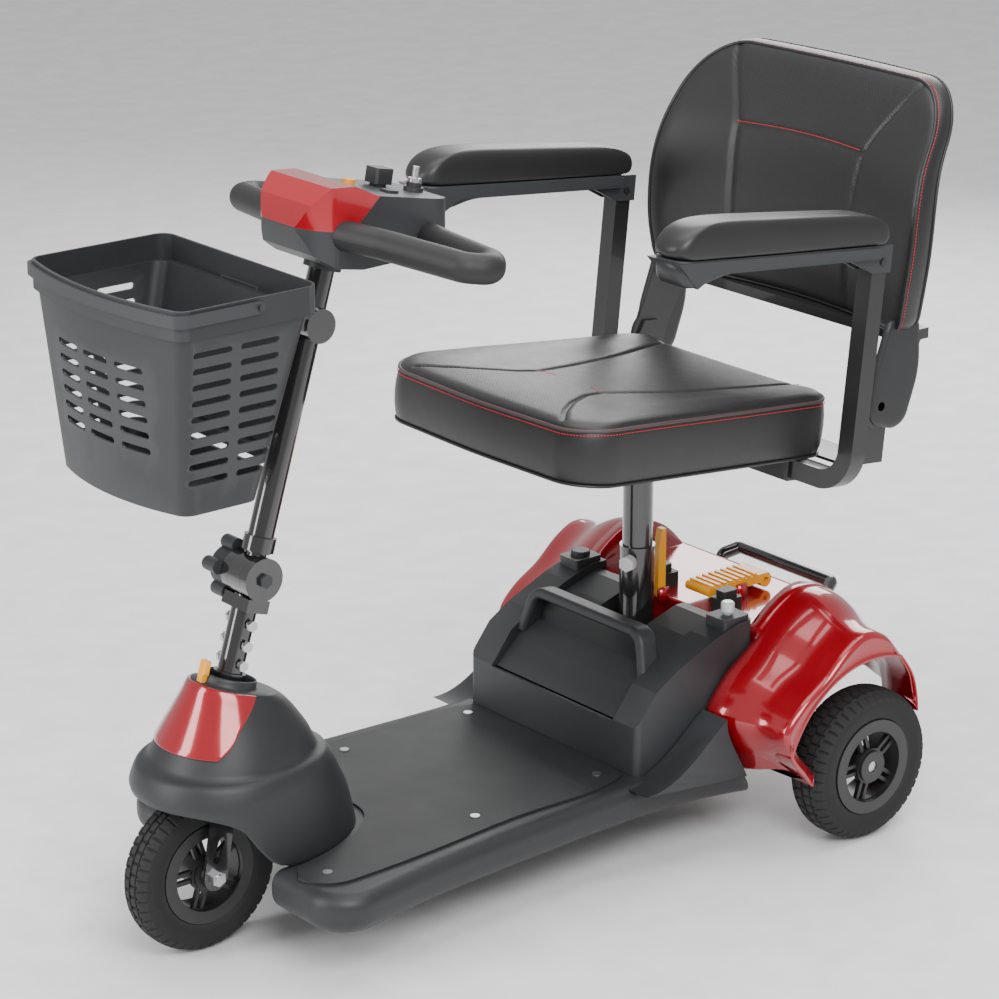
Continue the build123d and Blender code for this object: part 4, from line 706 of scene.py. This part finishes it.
for side, left in (("left", 1), ("right", -1)):

    def pad_place(a, b, t, sink):
        return on_seat(a, left * PAD_MIDDLE_Y + b, PAD_BASE + t * (curve(PAD_TOP, a) - PAD_BASE))

    def shell_place(a, b, t, sink):
        low = curve(SHELL_LOW, a)
        return on_seat(max(a, -126.0), left * PAD_MIDDLE_Y + b, low + t * (SHELL_TOP - low))

    body = f"pad_{side}"
    shape = (PAD_OUTLINE, pad_place, PAD_PROFILE, [], 0.0)
    pad = cushion(f"armrest_pad_cover_{side}", *shape, body, "pad_foam", (PAD,))
    smoothing = pad.modifiers.new("smooth", "SUBSURF")
    smoothing.levels = 1
    smoothing.render_levels = 1
    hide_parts(f"armrest_pad_{side}")
    shape = (PAD_OUTLINE, shell_place, SHELL_PROFILE, [], 0.0)
    cushion(f"armrest_shell_{side}", *shape, body, "charcoal_plastic", (CHARCOAL_SATIN,))

# ------------------------------------------------------------ tyres
TREAD_PARTS = 44
TREAD_STEPS = 6
TREAD_DEPTH = 2.6
SHOULDER_DROP = 9.5
TREAD_SHARES = (0.06, 0.07, 0.25, 0.42, 0.43, 0.49, 0.5, 0.62, 0.8, 0.93, 1.0)
SIDE_WALL = ((0.86, 65.0), (0.95, 72.0), (0.99, 78.0), (1.0, 83.0), (0.985, 85.0))


def tread_height(share, step):
    """0 in a groove and 1 on a block; share is the place across the tread, from -1 to 1."""
    if abs(share) < 0.07 or 0.42 < abs(share) < 0.5:
        return 0.0
    shift = 2 if abs(share) > 0.5 else 0
    shift += 3 if share > 0 else 0
    return 0.0 if (step + shift) % TREAD_STEPS == 0 else 1.0


def make_tyre(node, body, width):
    """Tyre with a block tread between rounded shoulders and smooth side walls."""
    centre = middle(node)
    low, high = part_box(node)
    outer = (high.z - low.z) / 2 / MM
    half = width / 2
    shares = sorted(side * share for side in (-1, 1) for share in TREAD_SHARES)
    built = bmesh.new()
    rings = []
    steps = TREAD_PARTS * TREAD_STEPS
    for step in range(steps):
        turn = 2 * math.pi * step / steps
        ring = [(-half * share, radius) for share, radius in SIDE_WALL]
        for share in shares:
            drop = SHOULDER_DROP * abs(share) ** 3.2
            groove = TREAD_DEPTH * (1 - tread_height(share, step))
            ring.append((share * half * 0.95, outer - drop - groove))
        ring += [(half * share, radius) for share, radius in reversed(SIDE_WALL)]
        rings.append(
            [
                centre + Vector((radius * math.cos(turn), y, radius * math.sin(turn))) * MM
                for y, radius in ring
            ]
        )
    rings.append(rings[0])
    add_rings(built, rings, True, False)
    bmesh.ops.remove_doubles(built, verts=built.verts, dist=1e-6)
    piece = finish_mesh(f"{node}_tread", built, body, "tyre_rubber", TYRE)
    for face in piece.data.polygons:
        face.use_smooth = False
    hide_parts(node)


make_tyre("rear_tyre_left", "rear_wheel_left", 60.0)
make_tyre("rear_tyre_right", "rear_wheel_right", 60.0)
make_tyre("front_tyre", "front_wheel", 48.0)

# ------------------------------------------------------------ front cowl
def through(points, parts):
    """Smooth line through points, as tuples of any length, with so many parts between two."""
    line = []
    count = len(points)
    for i in range(count - 1):
        ends = [points[max(i - 1, 0)], points[i], points[i + 1], points[min(i + 2, count - 1)]]
        for k in range(parts):
            u = k / parts
            weights = (
                (-u + 2 * u * u - u ** 3) / 2,
                (2 - 5 * u * u + 3 * u ** 3) / 2,
                (u + 4 * u * u - 3 * u ** 3) / 2,
                (-u * u + u ** 3) / 2,
            )
            columns = zip(*ends)
            line.append(tuple(sum(w * value for w, value in zip(weights, column)) for column in columns))
    line.append(tuple(points[-1]))
    return line


RAKE = math.tan(math.radians(17.2))
COWL_EDGE = [(632, 123), (770, 124), (812, 134), (836, 158), (858, 188), (896, 204), (928, 207)]
COWL_ROWS = [
    (0.0, 632, 820, 926, 110, 0.0),
    (0.5, 645, 822, 928, 109, 0.0),
    (1.0, 668, 821, 927, 106, 0.0),
    (228, 672, 820, 925, 104, 0.0),
    (236, 677, 819, 921, 100.5, 0.01),
    (240, 682, 818, 916, 96.5, 0.02),
    (242, 686, 816, 911, 92.5, 0.02),
    (246, 690, 814, 905, 89, 0.03),
    (254, 693, 811, 899, 86, 0.05),
    (272, 699, 807, 886, 77.5, 0.10),
    (292, 708, 803, 871, 66, 0.18),
    (310, 719, 800, 859, 56, 0.25),
    (322, 731, 798, 852, 50, 0.29),
    (328, 742, 797, 847, 46, 0.31),
]
COWL_SIDES = 96
COWL_WALL = 3.2
SKIRT_TOP = 222.0


def cowl_point(row, turn, grow=0.0):
    """Point on the cowl: row of (height or share of the skirt, rear, middle, front, half width, tilt)."""
    level, rear, centre, front, half, tilt = row
    reach = (front - centre if math.cos(turn) > 0 else centre - rear) + grow
    ahead = centre + reach * math.cos(turn)
    height = level
    if level <= 1.0:
        edge = curve(COWL_EDGE, ahead)
        height = edge + (SKIRT_TOP - edge) * level
    return at(ahead, (half + grow) * math.sin(turn), height + tilt * (ahead - centre) + 0.3 * grow)


def collar_point(height, radius, turn):
    return at(
        907 - height * RAKE + radius * math.cos(turn),
        radius * math.sin(turn),
        height + radius * math.cos(turn) * RAKE,
    )


turns = [2 * math.pi * k / COWL_SIDES for k in range(COWL_SIDES)]
cowl_rows = through(COWL_ROWS[3:], 3)
skirt_rows = through(COWL_ROWS[:3], 6)
cowl_rings = [[cowl_point(row, turn) for turn in turns] for row in skirt_rows + cowl_rows]
for height, radius in ((331, 36.5), (333, 34.5), (338, 34.0), (341, 33.2), (341.5, 32), (339, 31), (318, 31)):
    cowl_rings.append([collar_point(height, radius, turn) for turn in turns])
inner_rows = cowl_rows[-4::-1] + skirt_rows[::-1]
cowl_rings.extend([cowl_point(row, turn, -COWL_WALL) for turn in turns] for row in inner_rows)
cowl_rings.append(cowl_rings[0])
built = bmesh.new()
add_rings(built, cowl_rings, True, False)
bmesh.ops.remove_doubles(built, verts=built.verts, dist=1e-6)
cowl = finish_mesh("front_cowl_shell", built, "chassis", "charcoal_plastic", CHARCOAL)
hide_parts("front_cowl")

PANEL_PROUD = 3.0
PANEL_SUNK = 0.8
PANEL_ROWS = through([row for row in COWL_ROWS if row[0] >= 254], 4)
PANEL_SPREAD = [(254, 40), (262, 50), (275, 60), (292, 68), (310, 80), (328, 92)]
rings = []
for row in PANEL_ROWS[2:-1]:
    spread = math.radians(curve(PANEL_SPREAD, row[0]))
    line = [spread * (2 * k / 48 - 1) for k in range(49)]
    outer = [cowl_point(row, turn, PANEL_PROUD) for turn in line]
    rings.append(outer + [cowl_point(row, turn, -PANEL_SUNK) for turn in reversed(line)])
built = bmesh.new()
add_rings(built, rings)
panel_piece = finish_mesh("cowl_panel_shell", built, "chassis", "red_plastic", RED)
edge_soften = panel_piece.modifiers.new("rounded_edge", "BEVEL")
edge_soften.width = 1.4 * MM
edge_soften.segments = 3
edge_soften.limit_method = "ANGLE"
edge_soften.angle_limit = math.radians(40)
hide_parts("cowl_panel")

# ------------------------------------------------------------ rear shroud
SHROUD_LINE = through(
    [
        (138, 100),
        (150, 118),
        (172, 150),
        (181, 188),
        (152, 228),
        (106, 262),
        (60, 299),
        (15, 318),
        (-30, 308),
        (-66, 277),
        (-96, 240),
        (-110, 204),
        (-116, 176),
    ],
    7,
)
FENDER_DROP = [(150, 0), (190, 3), (215, 12), (238, 24), (262, 30), (282, 31), (292, 33)]
ARCH = 147.0
HUB_HEIGHT = 101.6
BATTERY_REAR = 92.0
DECK_TOP = 272.0
SHROUD_FOOT = 100.0
SHROUD_WALL = 4.0
EAR = (16 * MM, 5 * MM, 20 * MM)
EAR_HEIGHT = 281.0
EAR_GAP = 3.2 * MM


def drawn_in(x, z, drop):
    """Profile point moved towards the middle of the shroud."""
    heading = Vector((x - 5.0, z - 160.0)).normalized()
    return x - heading.x * drop, z - heading.y * drop


def mirrored(spots):
    return [(x, -y, z) for x, y, z in spots]


def shroud_ring(x, z):
    """One closed ring across the shroud, from the left arch over the top to the right and back under it."""
    half_ring = []
    reach = Vector((x, z - HUB_HEIGHT)).normalized()
    outer_x, outer_z = drawn_in(x, z, curve(FENDER_DROP, 286.0))
    limit = Vector((outer_x, outer_z - HUB_HEIGHT)).length - 9.0
    arch = min(ARCH, limit)

    def on_arch(radius, y):
        return (reach.x * radius, y, max(SHROUD_FOOT, HUB_HEIGHT + reach.y * radius))

    for y in (0.0, 40.0, 90.0, 130.0, 143.0, 147.0):
        half_ring.append((min(x, BATTERY_REAR), y, min(z, DECK_TOP) if z > 200 else z))
    for y in (149.0, 153.0, 165.0, 171.0):
        lift = min(1.0, (y - 147.0) / 5.0)
        top = min(z, DECK_TOP) + (z - min(z, DECK_TOP)) * lift if z > 200 else z
        half_ring.append((min(x, BATTERY_REAR), y, top))
    for y in (171.6, 180.0, 190.0, 200.0, 210.0, 220.0, 230.0, 240.0, 250.0, 262.0, 274.0):
        px, pz = drawn_in(x, z, curve(FENDER_DROP, y))
        half_ring.append((px, y, max(SHROUD_FOOT, pz)))
    for k in range(1, 7):
        turn = math.pi / 2 * k / 6
        px, pz = drawn_in(x, z, 31.0 + 9.0 * (1 - math.cos(turn)))
        half_ring.append((px, 281.0 + 11.0 * math.sin(turn), max(SHROUD_FOOT, pz)))
    side = Vector((half_ring[-1][0], half_ring[-1][2] - HUB_HEIGHT)).length
    for share in (0.3, 0.7):
        radius = side + (arch + 4.0 - side) * share
        half_ring.append(on_arch(radius, 290.5))
    half_ring.append(on_arch(arch + 3.5, 291.5))
    half_ring.append(on_arch(arch + 1.0, 293.0))
    half_ring.append(on_arch(arch, 291.0))
    half_ring.append(on_arch(arch, 280.0))
    half_ring.append(on_arch(arch, 250.0))
    half_ring.append(on_arch(arch, 228.0))
    inner = []
    for y in (222.0, 168.0, 140.0, 60.0):
        px, pz = drawn_in(x, z, SHROUD_WALL + curve(FENDER_DROP, y))
        if y < 172.0:
            px = min(px, BATTERY_REAR - SHROUD_WALL)
            pz = min(pz, DECK_TOP - SHROUD_WALL) if z > 200 else pz
        inner.append((px, y, max(SHROUD_FOOT, pz)))
    loop = half_ring[::-1] + mirrored(half_ring[1:]) + mirrored(inner) + inner[::-1]
    return [at(*spot) for spot in loop]


built = bmesh.new()
add_rings(built, [shroud_ring(x, z) for x, z in SHROUD_LINE])
for lever_node in ("frame_latch_lever", "freewheel_lever"):
    low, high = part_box(lever_node)
    for y in (low.y - EAR_GAP, high.y + EAR_GAP):
        block = bmesh.ops.create_cube(built, size=1.0)["verts"]
        bmesh.ops.scale(built, vec=EAR, verts=block)
        spot = Vector(((low.x + high.x) / 2, y, EAR_HEIGHT * MM))
        bmesh.ops.translate(built, vec=spot, verts=block)
shroud = finish_mesh("rear_shroud_shell", built, "chassis", "red_plastic", RED)
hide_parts("rear_shroud")
